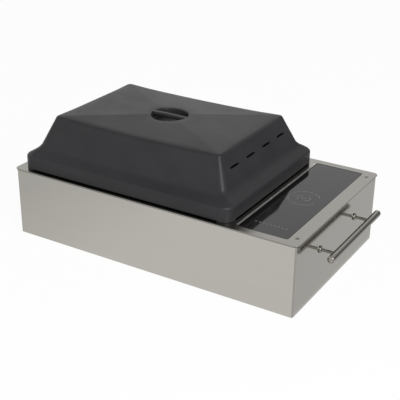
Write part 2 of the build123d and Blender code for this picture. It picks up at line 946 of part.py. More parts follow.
def make_lead_grommet():
    """A rubber grommet in the shield's hole, grooved for the sheet."""
    wall = (shield_x, shield_x + shield_sheet)
    low, high = wall[0] - grommet_lip_sheet, wall[1] + grommet_lip_sheet
    ring = rod_x_axis(*wall, 0, grommet_z, grommet_radius)
    ring += rod_x_axis(wall[1], high, 0, grommet_z, grommet_radius + grommet_lip)
    ring += rod_x_axis(low, wall[0], 0, grommet_z, grommet_radius + grommet_lip)
    return ring - rod_x_axis(low, high, 0, grommet_z, grommet_radius - grommet_wall)


# Grate

grate_length = well_length - 2 * well_sheet - 2 * grate_gap
grate_width = well_width - 2 * well_sheet - 2 * grate_gap


def make_grate():
    """A cast grate: a frame, bars across it with sloped tops, and two ties along it below the bars."""
    low, top = well_seat, well_seat + grate_thickness
    frame = frame_slab(well_x, grate_length, grate_width, grate_corner, grate_frame, low, top)
    inner_length = grate_length - 2 * grate_frame
    inner_width = grate_width - 2 * grate_frame
    half, shoulder, base = grate_bar / 2, top - grate_bar_slope, low + grate_bar_lift
    flank = [(half, base), (half, shoulder), (half / 2, top)]
    mirrored = [(-y, z) for y, z in reversed(flank)]
    profile = make_face(Plane.XZ * Polyline(*flank, *mirrored, close=True))
    bar_length = inner_width + 2 * overlap
    bar = Pos(0, bar_length / 2, 0) * extrude(profile, bar_length, dir=(0, -1, 0))
    count = int((inner_length - grate_bar) / grate_pitch)
    bars = [Pos(well_x + x, 0, 0) * bar for x in pitched(count, grate_pitch)]
    tie_low = low + grate_tie_lift
    along = about(well_x, inner_length + 2 * overlap)
    ties = [box(*along, *about(y, grate_tie), tie_low, tie_low + grate_tie_height)
            for y in pitched(2, grate_tie_spacing)]
    grate = frame.fuse(*bars, *ties)
    notch = Box(2 * notch_depth, notch_length, 2 * notch_height)
    return grate - [Pos(well_x + x, 0, top) * notch for x in spread(2, grate_length / 2)]


# Drip tray


def make_drip_tray():
    """A shallow pan with a rolled-out rim, on the tub's floor."""
    body = slab(well_x, tray_length, tray_width, tray_corner, well_floor, tray_top)
    body = fillet(body.faces().sort_by(Axis.Z)[0].edges(), tray_round)
    inner_size = (tray_length - 2 * tray_sheet, tray_width - 2 * tray_sheet)
    inside = slab(well_x, *inner_size, tray_corner - tray_sheet, well_floor + tray_sheet, tray_top)
    inside = fillet(inside.faces().sort_by(Axis.Z)[0].edges(), tray_round - tray_sheet)
    rim_size = (tray_length + 2 * tray_rim, tray_width + 2 * tray_rim)
    rim = frame_slab(well_x, *rim_size, tray_corner + tray_rim, tray_rim, tray_top - tray_sheet, tray_top)
    return body - inside + rim


# Heating element


def make_heating_element():
    """One sheathed rod bent into six long runs, its two ends in the plug block."""
    start = plug_left
    left = well_x - rod_inner_reach
    far = well_x - rod_outer_reach
    right = plug_left - rod_radius - rod_plug_gap
    low, middle, high = [rod_pitch * (0.5 + i) for i in range(3)]
    half = [(start, low), (left, low), (left, middle), (right, middle), (right, high), (far, high)]
    points = [(x, -y, rod_z) for x, y in half] + [(x, y, rod_z) for x, y in reversed(half)]
    route = FilletPolyline(*points, radius=rod_bend)
    section = Plane(origin=points[0], z_dir=(-1, 0, 0)) * Circle(rod_radius)
    return sweep(section, path=route)


def make_element_plug():
    """A moulded block that grips the rod's ends and carries the contact pins."""
    block = box(plug_left, plug_right, *about(0, plug_width), *about(rod_z, plug_height))
    return fillet(block.edges().filter_by(Axis.X), plug_round)


def make_element_pins():
    """Two contact pins and an earth pin between them."""
    tip = plug_right + pin_length
    return group([rod_x_axis(plug_right, tip, y, rod_z, pin_radius) for y in (rod_ends[0], 0, rod_ends[1])])


def make_element_straps():
    """Two straps below the rod's runs, with legs that stand on the tub's floor beside the tray."""
    straps = []
    top = rod_z - rod_radius
    for x in pitched(2, strap_spacing):
        along = about(well_x + x, strap_width)
        strap = box(*along, *about(0, 2 * strap_half_span), top - strap_thickness, top)
        for sign in (-1, 1):
            outer = sign * strap_half_span
            strap += box(*along, *span(outer, outer - sign * strap_thickness), well_floor, top)
        straps.append(strap)
    return group(straps)


# Socket and limiter on the tub's end wall


def make_element_socket():
    """A ceramic socket behind the tub's wall, with a collar in the wall's opening and holes for the pins."""
    tall = about(rod_z, socket_height)
    ear_back = well_end + socket_ear_thickness
    block = box(well_end, well_end + socket_length, *about(0, socket_width), *tall)
    block += box(well_end, ear_back, *about(0, socket_width + 2 * socket_ear), *tall)
    neck_width = socket_width - 2 * socket_collar
    neck_height = socket_height - socket_collar
    block += box(socket_face, well_end, *about(0, neck_width), *about(rod_z, neck_height))
    hole_end = socket_face + pin_length + overlap
    for y in (rod_ends[0], 0, rod_ends[1]):
        block -= rod_x_axis(socket_face, hole_end, y, rod_z, pin_radius + pin_clearance)
    for y in socket_screw_places:
        block -= rod_x_axis(well_end, ear_back, y, rod_z, small_screw_radius + screw_clearance)
    return block


def make_socket_screws():
    """Screws from inside the tub into the socket's ears."""
    screws = []
    tip = well_end + socket_screw_reach
    for y in socket_screw_places:
        head = rod_x_axis(socket_face - small_head_height, socket_face, y, rod_z, small_head_radius)
        screws.append(head + rod_x_axis(socket_face, tip, y, rod_z, small_screw_radius))
    return group(screws)


def make_socket_tabs():
    """Flat tabs on the socket's back for the leads."""
    back = (well_end + socket_length, well_end + socket_length + tab_length)
    thin = about(rod_z, tab_thickness)
    return group([box(*back, *about(y, tab_width), *thin) for y in rod_ends])


def make_thermal_limiter():
    """A disc limiter pressed on the tub's end wall, with two tabs."""
    back = well_end + limiter_depth
    body = rod_x_axis(well_end, back, limiter_y, rod_z, limiter_radius)
    ear_span = about(limiter_y, 2 * (limiter_radius + limiter_ear))
    ears = box(well_end, well_end + limiter_ear_sheet, *ear_span, *about(rod_z, limiter_ear_width))
    thin = about(rod_z, tab_thickness)
    tabs = [box(back, back + tab_length, *about(limiter_y + y, limiter_tab_width), *thin)
            for y in pitched(2, limiter_radius)]
    return body.fuse(ears, *tabs)


# Lid


def lid_section(height, inset, corner):
    """The lid's outline at a height above the plate."""
    length = lid_length - 2 * inset
    width = lid_width - 2 * inset
    return Pos(lid_x, 0, lid_bottom + height) * RectangleRounded(length, width, corner)


def wall_inset(height):
    """How far in the sloped wall is at a height above the plate."""
    return lid_wall_inset + (height - lid_wall_start) / tan(lid_wall_slope)


def lid_form(shrink):
    """The lid's solid form: skirt, rounded edge, shelf, hollow and sloped walls. Shrink makes the inside."""
    levels = [(0, shrink, lid_corner - shrink)]
    edge = lid_edge_radius - shrink
    for part in range(lid_edge_facets + 1):
        turn = (pi / 2 - lid_shelf_slope) * part / lid_edge_facets
        inset = lid_edge_radius - edge * cos(turn)
        levels.append((lid_skirt + edge * sin(turn), inset, lid_corner - inset))
    bend = lid_wall_slope - lid_shelf_slope
    aim = (lid_wall_slope + lid_shelf_slope) / 2
    centre_inset = lid_wall_inset - lid_hollow_radius * sin(aim) / cos(bend / 2)
    centre_height = lid_wall_start + lid_hollow_radius * cos(aim) / cos(bend / 2)
    hollow = lid_hollow_radius + shrink
    low_corner = lid_corner - centre_inset - hollow * sin(lid_shelf_slope)
    high_corner = lid_wall_corner - shrink
    for part in range(lid_hollow_facets + 1):
        share = part / lid_hollow_facets
        turn = lid_shelf_slope + bend * share
        corner = low_corner + (high_corner - low_corner) * share
        levels.append((centre_height - hollow * cos(turn), centre_inset + hollow * sin(turn), corner))
    top = lid_height + lid_crown + overlap - shrink
    levels.append((top, wall_inset(top) + shrink / sin(lid_wall_slope), lid_top_corner - shrink / 2))
    return loft([lid_section(*level) for level in levels], ruled=True)


def roof_cutters(drop):
    """Wedges above the lid's top: flat end facets, and narrow side facets along a sagging rim."""
    half_x = lid_length / 2 - lid_top_inset
    half_y = lid_width / 2 - lid_top_inset
    rim = lid_bottom + lid_height - drop
    centre = Vector(lid_x, 0, rim + lid_crown)
    stretch = 1.4
    facets = []
    for side in (-1, 1):
        sag = [Vector(lid_x + half_x * share, side * half_y, rim - lid_long_side_dip * (1 - share ** 2))
               for share in spread(lid_dip_facets + 1, 1)]
        facets += zip(sag, sag[1:])
        facets.append([Vector(lid_x + side * half_x, y, rim) for y in (-half_y, half_y)])
    cutters = []
    for facet in facets:
        far = [centre + (point - centre) * stretch for point in facet]
        outline = Polyline(centre, *far, close=True)
        cutters.append(extrude(make_face(outline), lid_height / 2, dir=(0, 0, 1)))
    return cutters


def make_lid_shell():
    """The moulded cover: thin walls, a recess with a flush grip bar, vent slots, raised lower edges."""
    outer = lid_form(0) - roof_cutters(0)
    inner = lid_form(lid_wall) - roof_cutters(lid_wall)
    crown = lid_bottom + lid_height + lid_crown
    recess_floor = crown - recess_depth
    above = crown + overlap
    cup = rod_z_axis(lid_x, 0, recess_radius + recess_wall, recess_floor - recess_wall, above)
    reach = recess_radius + recess_wall / 2
    bar = box(*about(lid_x, 2 * reach), *about(0, grip_width), crown - grip_thickness, above)
    shell = outer - inner + (cup & outer)
    shell -= rod_z_axis(lid_x, 0, recess_radius, recess_floor, above)
    shell += bar & outer
    slot_x = lid_x + lid_length / 2 - wall_inset(slot_height)
    slot = SlotOverall(slot_length, slot_width)
    for y in pitched(slot_count, slot_pitch):
        start = (slot_x + 2 * lid_wall, y, lid_bottom + slot_height)
        outline = Plane(origin=start, x_dir=(0, 1, 0), z_dir=(-1, 0, 0)) * slot
        shell -= extrude(outline, 4 * lid_wall)
    gap = (lid_bottom, lid_bottom + lid_vent_gap)
    between_x = lid_length - 2 * lid_foot_length
    between_y = lid_width - 2 * lid_foot_length
    shell -= box(*about(lid_x, between_x), *about(0, lid_width + overlap), *gap)
    return shell - box(*about(lid_x, lid_length + overlap), *about(0, between_y), *gap)


# Handle


def handle_bar_form():
    return Pos(bar_x, bar_shift, handle_z) * Rot(90, 0, 0) * Cylinder(bar_radius, bar_length)


def make_handle_bar():
    bar = handle_bar_form()
    return fillet(bar.edges(), bar_end_round)


def make_handle_posts():
    """Two round posts from the end face to the bar, cut to the bar's round and tapped for their screws."""
    posts = []
    tap_end = case_right + post_tap_depth
    for y in post_places:
        post = rod_x_axis(case_right, bar_x, y, handle_z, post_radius) - handle_bar_form()
        posts.append(post - rod_x_axis(case_right, tap_end, y, handle_z, handle_screw_radius))
    return group(posts)


def make_handle_collars():
    collars = []
    face = (case_right, case_right + collar_thickness)
    for y in post_places:
        collar = rod_x_axis(*face, y, handle_z, collar_radius)
        collars.append(collar - rod_x_axis(*face, y, handle_z, post_radius))
    return group(collars)


def make_handle_screws():
    screws = []
    tip = case_right + handle_screw_reach
    for y in post_places:
        head = rod_x_axis(wall_inside - small_head_height, wall_inside, y, handle_z, small_head_radius)
        screws.append(head + rod_x_axis(wall_inside, tip, y, handle_z, handle_screw_radius))
    return group(screws)


# Power inlet


def inlet_box(width, height, x0, x1):
    """A block with rounded corners about the inlet's middle line."""
    plane = Plane(origin=(x0, inlet_y, inlet_z), x_dir=(0, 1, 0), z_dir=(1, 0, 0))
    return extrude(plane * RectangleRounded(width, height, inlet_corner), x1 - x0)


def make_power_inlet():
    """A flanged three-pin inlet in the end wall, its mouth open to the outside."""
    body = inlet_box(inlet_flange_width, inlet_flange_height, inlet_front, case_left)
    body += inlet_box(inlet_body_width, inlet_body_height, case_left, inlet_back)
    body -= inlet_box(inlet_mouth_width, inlet_mouth_height, inlet_front, inlet_front + inlet_mouth_depth)
    for z in inlet_screw_levels:
        body -= rod_x_axis(inlet_front, case_left, inlet_y, z, small_screw_radius + screw_clearance)
    return body


def make_inlet_pins():
    root = inlet_front + inlet_mouth_depth
    along = (root - inlet_pin_length, root)
    width, height = inlet_pin_size
    return group([box(*along, *about(inlet_y + y, width), *about(inlet_z + z, height))
                  for y, z in inlet_pin_places])


def make_inlet_screws():
    along = (inlet_front + inlet_screw_sink, case_left + inlet_screw_reach)
    return group([rod_x_axis(*along, inlet_y, z, small_screw_radius) for z in inlet_screw_levels])


# Earth stud


def make_earth_stud():
    return rod_z_axis(earth_x, earth_y, plate_screw_radius, floor_top, floor_top + earth_stud_length)


def make_earth_nut():
    low = floor_top + earth_nut_lift
    return nut(earth_x, earth_y, low, plate_nut_across, plate_nut_height, plate_screw_radius)


# Internal leads

clip_places = [well_x + clip_first + i * clip_pitch for i in range(clip_count)]


def tube(points, radius, bends):
    """A round lead along straight runs joined by tangent arcs."""
    route = FilletPolyline(*points, radius=bends)
    first = Vector(*points[1]) - Vector(*points[0])
    section = Plane(origin=points[0], z_dir=first) * Circle(radius)
    print("lead radius", radius, "length", round(route.length, 1), "bend radii", bends)
    return sweep(section, path=route)


def make_mains_lead():
    """From the back of the inlet, down and along the side to the terminal block."""
    block_z = power_board_top + terminal_size[2] / 2
    points = [
        (inlet_back, lead_y, inlet_z),
        (inlet_back + lead_exit, lead_y, inlet_z),
        (inlet_back + lead_exit + lead_fall, lead_y, lead_z),
        (shield_x + lead_past_shield, lead_y, lead_z),
        (terminal_x, lead_y - lead_turn_in, block_z),
        (terminal_x, terminal_y + terminal_size[1] / 2, block_z),
    ]
    return tube(points, lead_radius, lead_bends)


def make_lead_clips():
    """Clips that hold the mains lead to the base."""
    clips = []
    width = 2 * (lead_radius + clip_wall)
    for x in clip_places:
        along = about(x, clip_width)
        block = box(*along, *about(lead_y, width), floor_top, lead_z + width / 2)
        clips.append(block - rod_x_axis(*along, lead_y, lead_z, lead_radius + slip / 2))
    return group(clips)


def make_element_leads():
    """Two leads from the socket's tabs through the grommet to the terminal block."""
    leads = []
    tab_x = well_end + socket_length + tab_length / 2
    for side, way in ((-1, 0), (1, 1)):
        start_y = rod_ends[way]
        hole_y = side * core_spread
        end_y = terminal_way_y(way)
        stagger = side * core_stagger
        points = [
            (tab_x, start_y, rod_z - tab_thickness / 2),
            (tab_x, start_y, rod_z - core_drop),
            (tab_x, hole_y, grommet_z + core_rise),
            (tab_x, hole_y, grommet_z),
            (shield_x + core_past_shield - stagger, hole_y, grommet_z),
            (terminal_face - core_before_terminal - stagger, end_y, terminal_z),
            (terminal_face + terminal_mouth_depth, end_y, terminal_z),
        ]
        leads.append(tube(points, core_radius, core_bends))
    return group(leads)


def make_signal_lead():
    """A lead from the power board up into the control tray."""
    points = [
        (glass_x, signal_y, power_board_top),
        (glass_x, signal_y, power_board_top + signal_rise[0]),
        (glass_x, signal_y + signal_slack, power_board_top + signal_rise[1]),
        (glass_x, signal_y, control_floor - signal_end),
        (glass_x, signal_y, touch_board_bottom),
    ]
    return tube(points, signal_radius, signal_bends)


nodes = {
    "casing_shell": make_casing_shell,
    "casing_base": make_casing_base,
    "base_screws": make_base_screws,
    "base_nuts": make_base_nuts,
    "feet": make_feet,
    "foot_screws": make_foot_screws,
    "foot_nuts": make_foot_nuts,
    "top_plate": make_top_plate,
    "plate_gasket": make_plate_gasket,
    "plate_screws": make_plate_screws,
    "plate_nuts": make_plate_nuts,
    "plate_tongues": make_plate_tongues,
    "glass_panel": make_glass_panel,
    "glass_gasket": make_glass_gasket,
    "glass_seat": make_glass_seat,
    "control_tray": make_control_tray,
    "control_screws": make_control_screws,
    "touch_board": make_touch_board,
    "touch_board_screws": make_touch_board_screws,
    "touch_electrodes": make_touch_electrodes,
    "indicator_lights": make_indicator_lights,
    "board_standoffs": make_board_standoffs,
    "power_board": make_power_board,
    "power_board_screws": make_power_board_screws,
    "power_relays": make_power_relays,
    "transformer": make_transformer,
    "filter_capacitor": make_filter_capacitor,
    "mains_terminals": make_mains_terminals,
    "grill_well": make_grill_well,
    "well_studs": make_well_studs,
    "well_nuts": make_well_nuts,
    "floor_shield": make_floor_shield,
    "shield_rivets": make_shield_rivets,
    "heat_shield": make_heat_shield,
    "insulation_board": make_insulation_board,
    "lead_grommet": make_lead_grommet,
    "thermal_limiter": make_thermal_limiter,
    "element_socket": make_element_socket,
    "socket_screws": make_socket_screws,
    "socket_tabs": make_socket_tabs,
    "heating_element": make_heating_element,
    "element_plug": make_element_plug,
    "element_pins": make_element_pins,
    "element_straps": make_element_straps,
    "drip_tray": make_drip_tray,
    "grate": make_grate,
    "lid_shell": make_lid_shell,
    "handle_bar": make_handle_bar,
    "handle_posts": make_handle_posts,
    "handle_collars": make_handle_collars,
    "handle_screws": make_handle_screws,
    "power_inlet": make_power_inlet,
    "inlet_pins": make_inlet_pins,
    "inlet_screws": make_inlet_screws,
    "earth_stud": make_earth_stud,
    "earth_nut": make_earth_nut,
    "mains_lead": make_mains_lead,
    "lead_clips": make_lead_clips,
    "element_leads": make_element_leads,
    "signal_lead": make_signal_lead,
}

os.makedirs("parts", exist_ok=True)
for name, make in nodes.items():
    export_step(make(), f"parts/{name}.step")
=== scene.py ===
from math import atan2, cos, hypot, pi, radians, sin, tan

import bmesh
import bpy
from mathutils import Matrix, Vector


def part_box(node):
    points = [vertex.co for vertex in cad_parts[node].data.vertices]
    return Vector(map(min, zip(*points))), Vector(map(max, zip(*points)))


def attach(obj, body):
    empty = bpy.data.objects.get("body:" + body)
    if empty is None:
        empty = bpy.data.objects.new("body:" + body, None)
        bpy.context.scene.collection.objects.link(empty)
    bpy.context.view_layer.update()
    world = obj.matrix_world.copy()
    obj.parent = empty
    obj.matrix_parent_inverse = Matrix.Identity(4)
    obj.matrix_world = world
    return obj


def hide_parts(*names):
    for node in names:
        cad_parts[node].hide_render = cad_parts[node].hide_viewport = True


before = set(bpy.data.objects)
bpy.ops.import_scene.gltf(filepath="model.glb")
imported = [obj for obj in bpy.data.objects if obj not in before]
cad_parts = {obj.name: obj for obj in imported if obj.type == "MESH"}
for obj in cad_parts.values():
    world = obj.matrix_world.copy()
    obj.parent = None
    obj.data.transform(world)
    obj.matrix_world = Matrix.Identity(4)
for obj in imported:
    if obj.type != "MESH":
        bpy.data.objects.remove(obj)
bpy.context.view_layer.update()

bl_info = {
    "name": "Electric Grill Finish",
    "version": (1, 0, 0),
    "blender": (4, 5, 0),
    "location": "View3D > Sidebar > Grill",
    "description": "Finishes and moulded forms of a built-in electric grill, fitted to its frame",
    "category": "Object",
}

MM = 0.001
# Signs of x and y in the four corners of a rectangle, anticlockwise
QUADRANTS = ((1, 1), (-1, 1), (-1, -1), (1, -1))


def linear(colour):
    """A '#rrggbb' colour as linear red, green, blue and alpha."""
    channels = [int(colour[i:i + 2], 16) / 255 for i in (1, 3, 5)]
    return tuple(c / 12.92 if c <= 0.04045 else ((c + 0.055) / 1.055) ** 2.4 for c in channels) + (1.0,)


def length(name, description, default):
    """A length that a user can change, in metres."""
    return bpy.props.FloatProperty(
        name=name, description=description, default=default, min=0.0001, max=1.0, unit="LENGTH", precision=4)


def angle(name, description, degrees):
    """An angle that a user can change."""
    return bpy.props.FloatProperty(
        name=name, description=description, default=radians(degrees), subtype="ANGLE")


def count(name, description, default):
    """A number of like pieces."""
    return bpy.props.IntProperty(name=name, description=description, default=default, min=1, max=60)


def paint(name, description, colour):
    """A colour that a user can change."""
    return bpy.props.FloatVectorProperty(
        name=name, description=description, default=linear(colour), size=4, min=0.0, max=1.0,
        subtype="COLOR")


class LidSizes(bpy.types.PropertyGroup):
    """Sizes of the moulded lid, above the plate and in from its skirt."""
    wall: length("Wall", "Thickness of the moulding", 3.0 * MM)
    corner: length("Skirt corner", "Plan radius of the skirt's corners", 21.5 * MM)
    foot: length("Foot", "Length of each corner that reaches down to the plate", 22.0 * MM)
    gap: length("Edge gap", "Height of the lower edge between the feet", 1.9 * MM)
    skirt: length("Skirt", "Height of the upright skirt", 21.0 * MM)
    edge: length("Skirt edge", "Radius of the skirt's rounded top", 5.0 * MM)
    shelf: angle("Shelf slope", "Slope of the shelf between skirt and wall", 31.0)
    hollow: length("Hollow", "Radius of the hollow between shelf and wall", 24.0 * MM)
    wall_inset: length("Wall inset", "How far in the sloped wall would meet the shelf", 19.0 * MM)
    wall_corner: length("Wall corner", "Plan radius of the sloped wall's foot", 13.0 * MM)
    crown_inset: length("Crown inset", "How far in the sloped wall ends", 43.8 * MM)
    crown_height: length("Crown height", "Height of the crown's corners", 91.0 * MM)
    crown_corner: length("Crown corner", "Plan radius of the crown's corners", 6.5 * MM)
    crown_round: length("Crown round", "Radius of the crown's edge at its corners", 4.0 * MM)
    crown_round_mid: length("Crown side round", "Radius of the crown's edge along its sides", 9.0 * MM)
    crown_blend: length("Crown blend", "How far from a corner the edge has its full radius", 50.0 * MM)
    crown_rise: length("Crown rise", "How far the middle stands above the corners", 3.5 * MM)
    side_dip: length("Side dip", "How far the long edges dip at mid-side", 3.0 * MM)
    ridge_soft: length("Ridge softness", "Depth over which the four ridges are rounded", 0.25 * MM)
    recess: length("Recess radius", "Radius of the finger recess", 32.3 * MM)
    recess_depth: length("Recess depth", "Depth of the finger recess", 14.0 * MM)
    recess_round: length("Recess round", "Radius of the recess's upper edge", 2.4 * MM)
    recess_wall: length("Recess wall", "Thickness of the recess's cup", 2.5 * MM)
    grip_width: length("Grip width", "Width of the grip bar", 9.5 * MM)
    grip_depth: length("Grip depth", "Thickness of the grip bar", 7.0 * MM)
    slot_length: length("Slot length", "Length of each vent slot", 27.0 * MM)
    slot_width: length("Slot width", "Width of each vent slot", 3.4 * MM)
    slot_pitch: length("Slot pitch", "Distance between vent slots", 53.0 * MM)
    slot_height: length("Slot height", "Height of the vent slots above the plate", 66.0 * MM)
    slot_fall: angle("Slot fall", "How steeply the vent slots fall inwards", 24.0)
    slots: count("Slots", "Number of vent slots", 4)


class HandleSizes(bpy.types.PropertyGroup):
    """Sizes of the bar handle's turned pieces; their places come from the frame."""
    bar_round: length("Bar end round", "Radius of the bar's end edges", 5.6 * MM)
    post: length("Post radius", "Radius of each post", 2.5 * MM)
    posts: count("Posts", "Number of posts", 2)
    collar_round: length("Collar round", "Radius of the collar's outer edge", 0.8 * MM)


class FastenerSizes(bpy.types.PropertyGroup):
    """Sizes of the screws and feet that can be seen from outside."""
    sunk_head: length("Countersunk head", "Radius of the plate screws' heads", 4.0 * MM)
    sunk_shank: length("Countersunk shank", "Radius of the plate screws' shanks", 2.0 * MM)
    sunk_depth: length("Countersink", "Depth of the plate screws' cone", 1.5 * MM)
    drive: length("Drive", "Radius over corners of the hexagon socket", 2.0 * MM)
    drive_depth: length("Drive depth", "Depth of the hexagon socket", 1.1 * MM)
    pan_head: length("Pan head", "Radius of the small screws' heads", 2.8 * MM)
    pan_height: length("Pan head height", "Height of the small screws' heads", 1.6 * MM)
    pan_shank: length("Pan shank", "Radius of the small screws' shanks", 1.5 * MM)
    foot: length("Foot radius", "Radius of each rubber foot", 8.0 * MM)
    foot_taper: length("Foot taper", "How much narrower a foot is at the floor", 1.0 * MM)
    pocket: length("Foot pocket", "Radius of the pocket for the foot's screw", 3.0 * MM)
    pocket_depth: length("Pocket depth", "Depth of the pocket", 2.0 * MM)


class EdgeSizes(bpy.types.PropertyGroup):
    """Sizes of the gasket's lip, partly a real gasket and partly a painted shadow under the plate's edge, and
    of the bead beside the glass.
    """
    lip: length("Gasket lip", "How far the gasket's lip stands out from its body", 3.8 * MM)
    lip_height: length("Lip height", "Thickness of the gasket's lip", 0.9 * MM)
    lap: length("Lip lap", "How far the lip laps over the gasket's body", 0.5 * MM)
    corner: length("Lip corner", "Plan radius of the lip's corners", 8.3 * MM)
    seal: length("Glass seal", "Width of the black seal round the glass", 0.9 * MM)
    seal_gap: length("Seal gap", "How far the seal stands out from the glass", 0.2 * MM)
    seal_rise: length("Seal rise", "How far the seal stands above the glass", 0.1 * MM)
    seal_depth: length("Seal depth", "How far the seal goes down beside the glass", 1.0 * MM)
    seal_corner: length("Seal corner", "Plan radius of the seal's corners", 3.0 * MM)
    rail: length("Rail", "Width of the bead beside the glass", 3.0 * MM)
    rail_height: length("Rail height", "Height of the bead above the plate", 0.8 * MM)
    rail_gap: length("Rail gap", "From the bead to the glass", 0.2 * MM)
    rail_end: length("Rail end", "From the bead's end to the glass's edge", 4.0 * MM)


class PanelSizes(bpy.types.PropertyGroup):
    """Sizes of the marks printed on the glass."""
    ring: length("Ring radius", "Radius of the touch ring", 26.0 * MM)
    line: length("Line width", "Width of a printed line", 1.5 * MM)
    film: length("Print thickness", "Thickness of the print", 0.05 * MM)
    dots: count("Dots", "Number of level dots", 9)
    dot_pitch: length("Dot pitch", "Distance between level dots", 6.5 * MM)
    dot_radius: length("Dot radius", "Radius of a level dot", 1.6 * MM)
    dot_place: length("Dot place", "From the glass's near edge to the dots", 30.0 * MM)


class GrateSizes(bpy.types.PropertyGroup):
    """Sizes of the cast grate and of the element's rod below it."""
    rim: length("Rim", "Width of the grate's rim", 10.0 * MM)
    corner: length("Corner", "Plan radius of the grate's corners", 16.0 * MM)
    bars: count("Bars", "Number of bars", 23)
    bar: length("Bar", "Width of a bar at its foot", 5.5 * MM)
    bar_lift: length("Bar lift", "How far the bars clear the rim's underside", 3.0 * MM)
    pitch: length("Pitch", "Distance between bars", 14.5 * MM)
    tie: length("Tie", "Width of the ties below the bars", 8.0 * MM)
    tie_height: length("Tie height", "Height of the ties", 5.0 * MM)
    tie_lift: length("Tie lift", "How far the ties clear the rim's underside", 1.0 * MM)
    tie_spacing: length("Tie spacing", "Distance between the ties", 84.0 * MM)
    notch_length: length("Notch", "Length of the finger notch in each end of the rim", 60.0 * MM)
    notch_depth: length("Notch depth", "Depth and height of the finger notches", 6.0 * MM)
    rod: length("Rod radius", "Radius of the element's rod", 4.0 * MM)
    rod_bend: length("Rod bend", "Middle radius of the rod's bends", 17.0 * MM)
    rod_step: length("Rod step", "How much shorter the inner runs are at the far end", 16.0 * MM)
    rod_gap: length("Rod gap", "From the plug to the bends beside it", 26.5 * MM)


class FinishColours(bpy.types.PropertyGroup):
    """Colours of the visible finishes."""
    casing_steel: paint("Casing steel", "Brushed sheet of the casing", "#bfbcb5")
    plate_steel: paint("Plate steel", "Brushed sheet of the top plate", "#9f9c96")
    # The rail's colour is lighter than the plate's steel: a painted highlight on the polished bead.
    rail_steel_and_highlight: paint("Rail steel", "Polished bead beside the glass", "#efede8")
    handle_steel: paint("Handle steel", "Turned bar of the handle", "#9e9b95")
    lid_nylon: paint("Lid", "Moulded lid", "#2c2c2e")
    glass_black: paint("Glass", "Black back print below the glass", "#050506")
    print_grey: paint("Print", "Marks on the glass", "#6c6c70")
    gasket_black: paint("Gasket", "Silicone gaskets", "#1b1b1c")
    foot_black: paint("Feet", "Rubber feet", "#1d1d1e")
    screw_steel: paint("Screws", "Plated screws", "#8d8d8b")
    cast_black: paint("Grate", "Coated cast iron", "#262627")
    sheath_grey: paint("Element", "Oxidised sheath of the element", "#4a4745")
    floor_white: paint("Floor", "Floor below the grill", "#fbfbfb")


class CameraSizes(bpy.types.PropertyGroup):
    """The photograph's viewpoint."""
    azimuth: angle("Azimuth", "Turn of the view about the upright axis", 31.16)
    elevation: angle("Elevation", "Height of the view above level", 25.24)
    roll: angle("Roll", "Turn of the view about its own axis", 0.65)
    lens: bpy.props.FloatProperty(
        name="Focal length", description="Focal length for a 36 mm frame", default=81.52, min=10.0,
        max=500.0, subtype="DISTANCE_CAMERA")
    place: bpy.props.FloatVectorProperty(
        name="Place", description="Where the camera stands", default=(0.7383, -1.2326, 0.7525), size=3,
        subtype="TRANSLATION")


# Node and mesh helpers


def add_node(tree, kind, settings=None, inputs=None):
    """A node with its settings, its inputs as values or as sockets to link from."""
    node = tree.nodes.new(kind)
    for name, value in (settings or {}).items():
        setattr(node, name, value)
    for name, value in (inputs or {}).items():
        if isinstance(value, bpy.types.NodeSocket):
            tree.links.new(value, node.inputs[name])
        else:
            node.inputs[name].default_value = value
    return node


def new_material(name):
    """An empty node material and its tree."""
    material = bpy.data.materials.new(name)
    material.use_nodes = True
    material.node_tree.nodes.clear()
    return material, material.node_tree


def mapped(tree, value, span, smooth=False):
    """A value mapped by (from, to, result at from, result at to), and held at the results beyond them."""
    start, end, first, last = span
    settings = {"interpolation_type": "SMOOTHSTEP" if smooth else "LINEAR"}
    return add_node(tree, "ShaderNodeMapRange", settings, {
        "Value": value, "From Min": start, "From Max": end, "To Min": first,
        "To Max": last}).outputs["Result"]


def product(tree, first, second):
    """One value times another."""
    return add_node(tree, "ShaderNodeMath", {"operation": "MULTIPLY"}, {0: first, 1: second}).outputs["Value"]


def times(tree, value, factor, add=0.0):
    """A value times a factor, plus a constant or another value."""
    return add_node(tree, "ShaderNodeMath", {"operation": "MULTIPLY_ADD"}, {
        0: value, 1: factor, 2: add}).outputs["Value"]


def scaled(tree, vector, factor):
    """A vector or a colour times a factor."""
    return add_node(tree, "ShaderNodeVectorMath", {"operation": "SCALE"}, {
        0: vector, "Scale": factor}).outputs["Vector"]


def grain(tree, spacing, detail=2.0):
    """Noise whose features are the given x, y, z sizes in metres, in the object's own coordinates."""
    coordinates = add_node(tree, "ShaderNodeTexCoord")
    scale = tuple(1.0 / size for size in spacing)
    mapping = add_node(tree, "ShaderNodeMapping", None, {
        "Vector": coordinates.outputs["Object"], "Scale": scale})
    noise = add_node(tree, "ShaderNodeTexNoise", None, {
        "Vector": mapping.outputs["Vector"], "Scale": 1.0, "Detail": detail, "Roughness": 0.55})
    return noise.outputs["Fac"]


def spread_about(tree, factor, middle, swing):
    """The noise turned into values from middle - swing to middle + swing."""
    return mapped(tree, factor, (0.25, 0.75, middle - swing, middle + swing))


def relief(tree, height, strength, depth):
    """A normal with bumps of a depth in metres."""
    return add_node(tree, "ShaderNodeBump", None, {
        "Strength": strength, "Distance": depth, "Height": height}).outputs["Normal"]


def close_shader(tree, inputs):
    """Ends a material's tree in the Principled shader with these inputs."""
    shader = add_node(tree, "ShaderNodeBsdfPrincipled", None, inputs)
    add_node(tree, "ShaderNodeOutputMaterial", None, {"Surface": shader.outputs["BSDF"]})


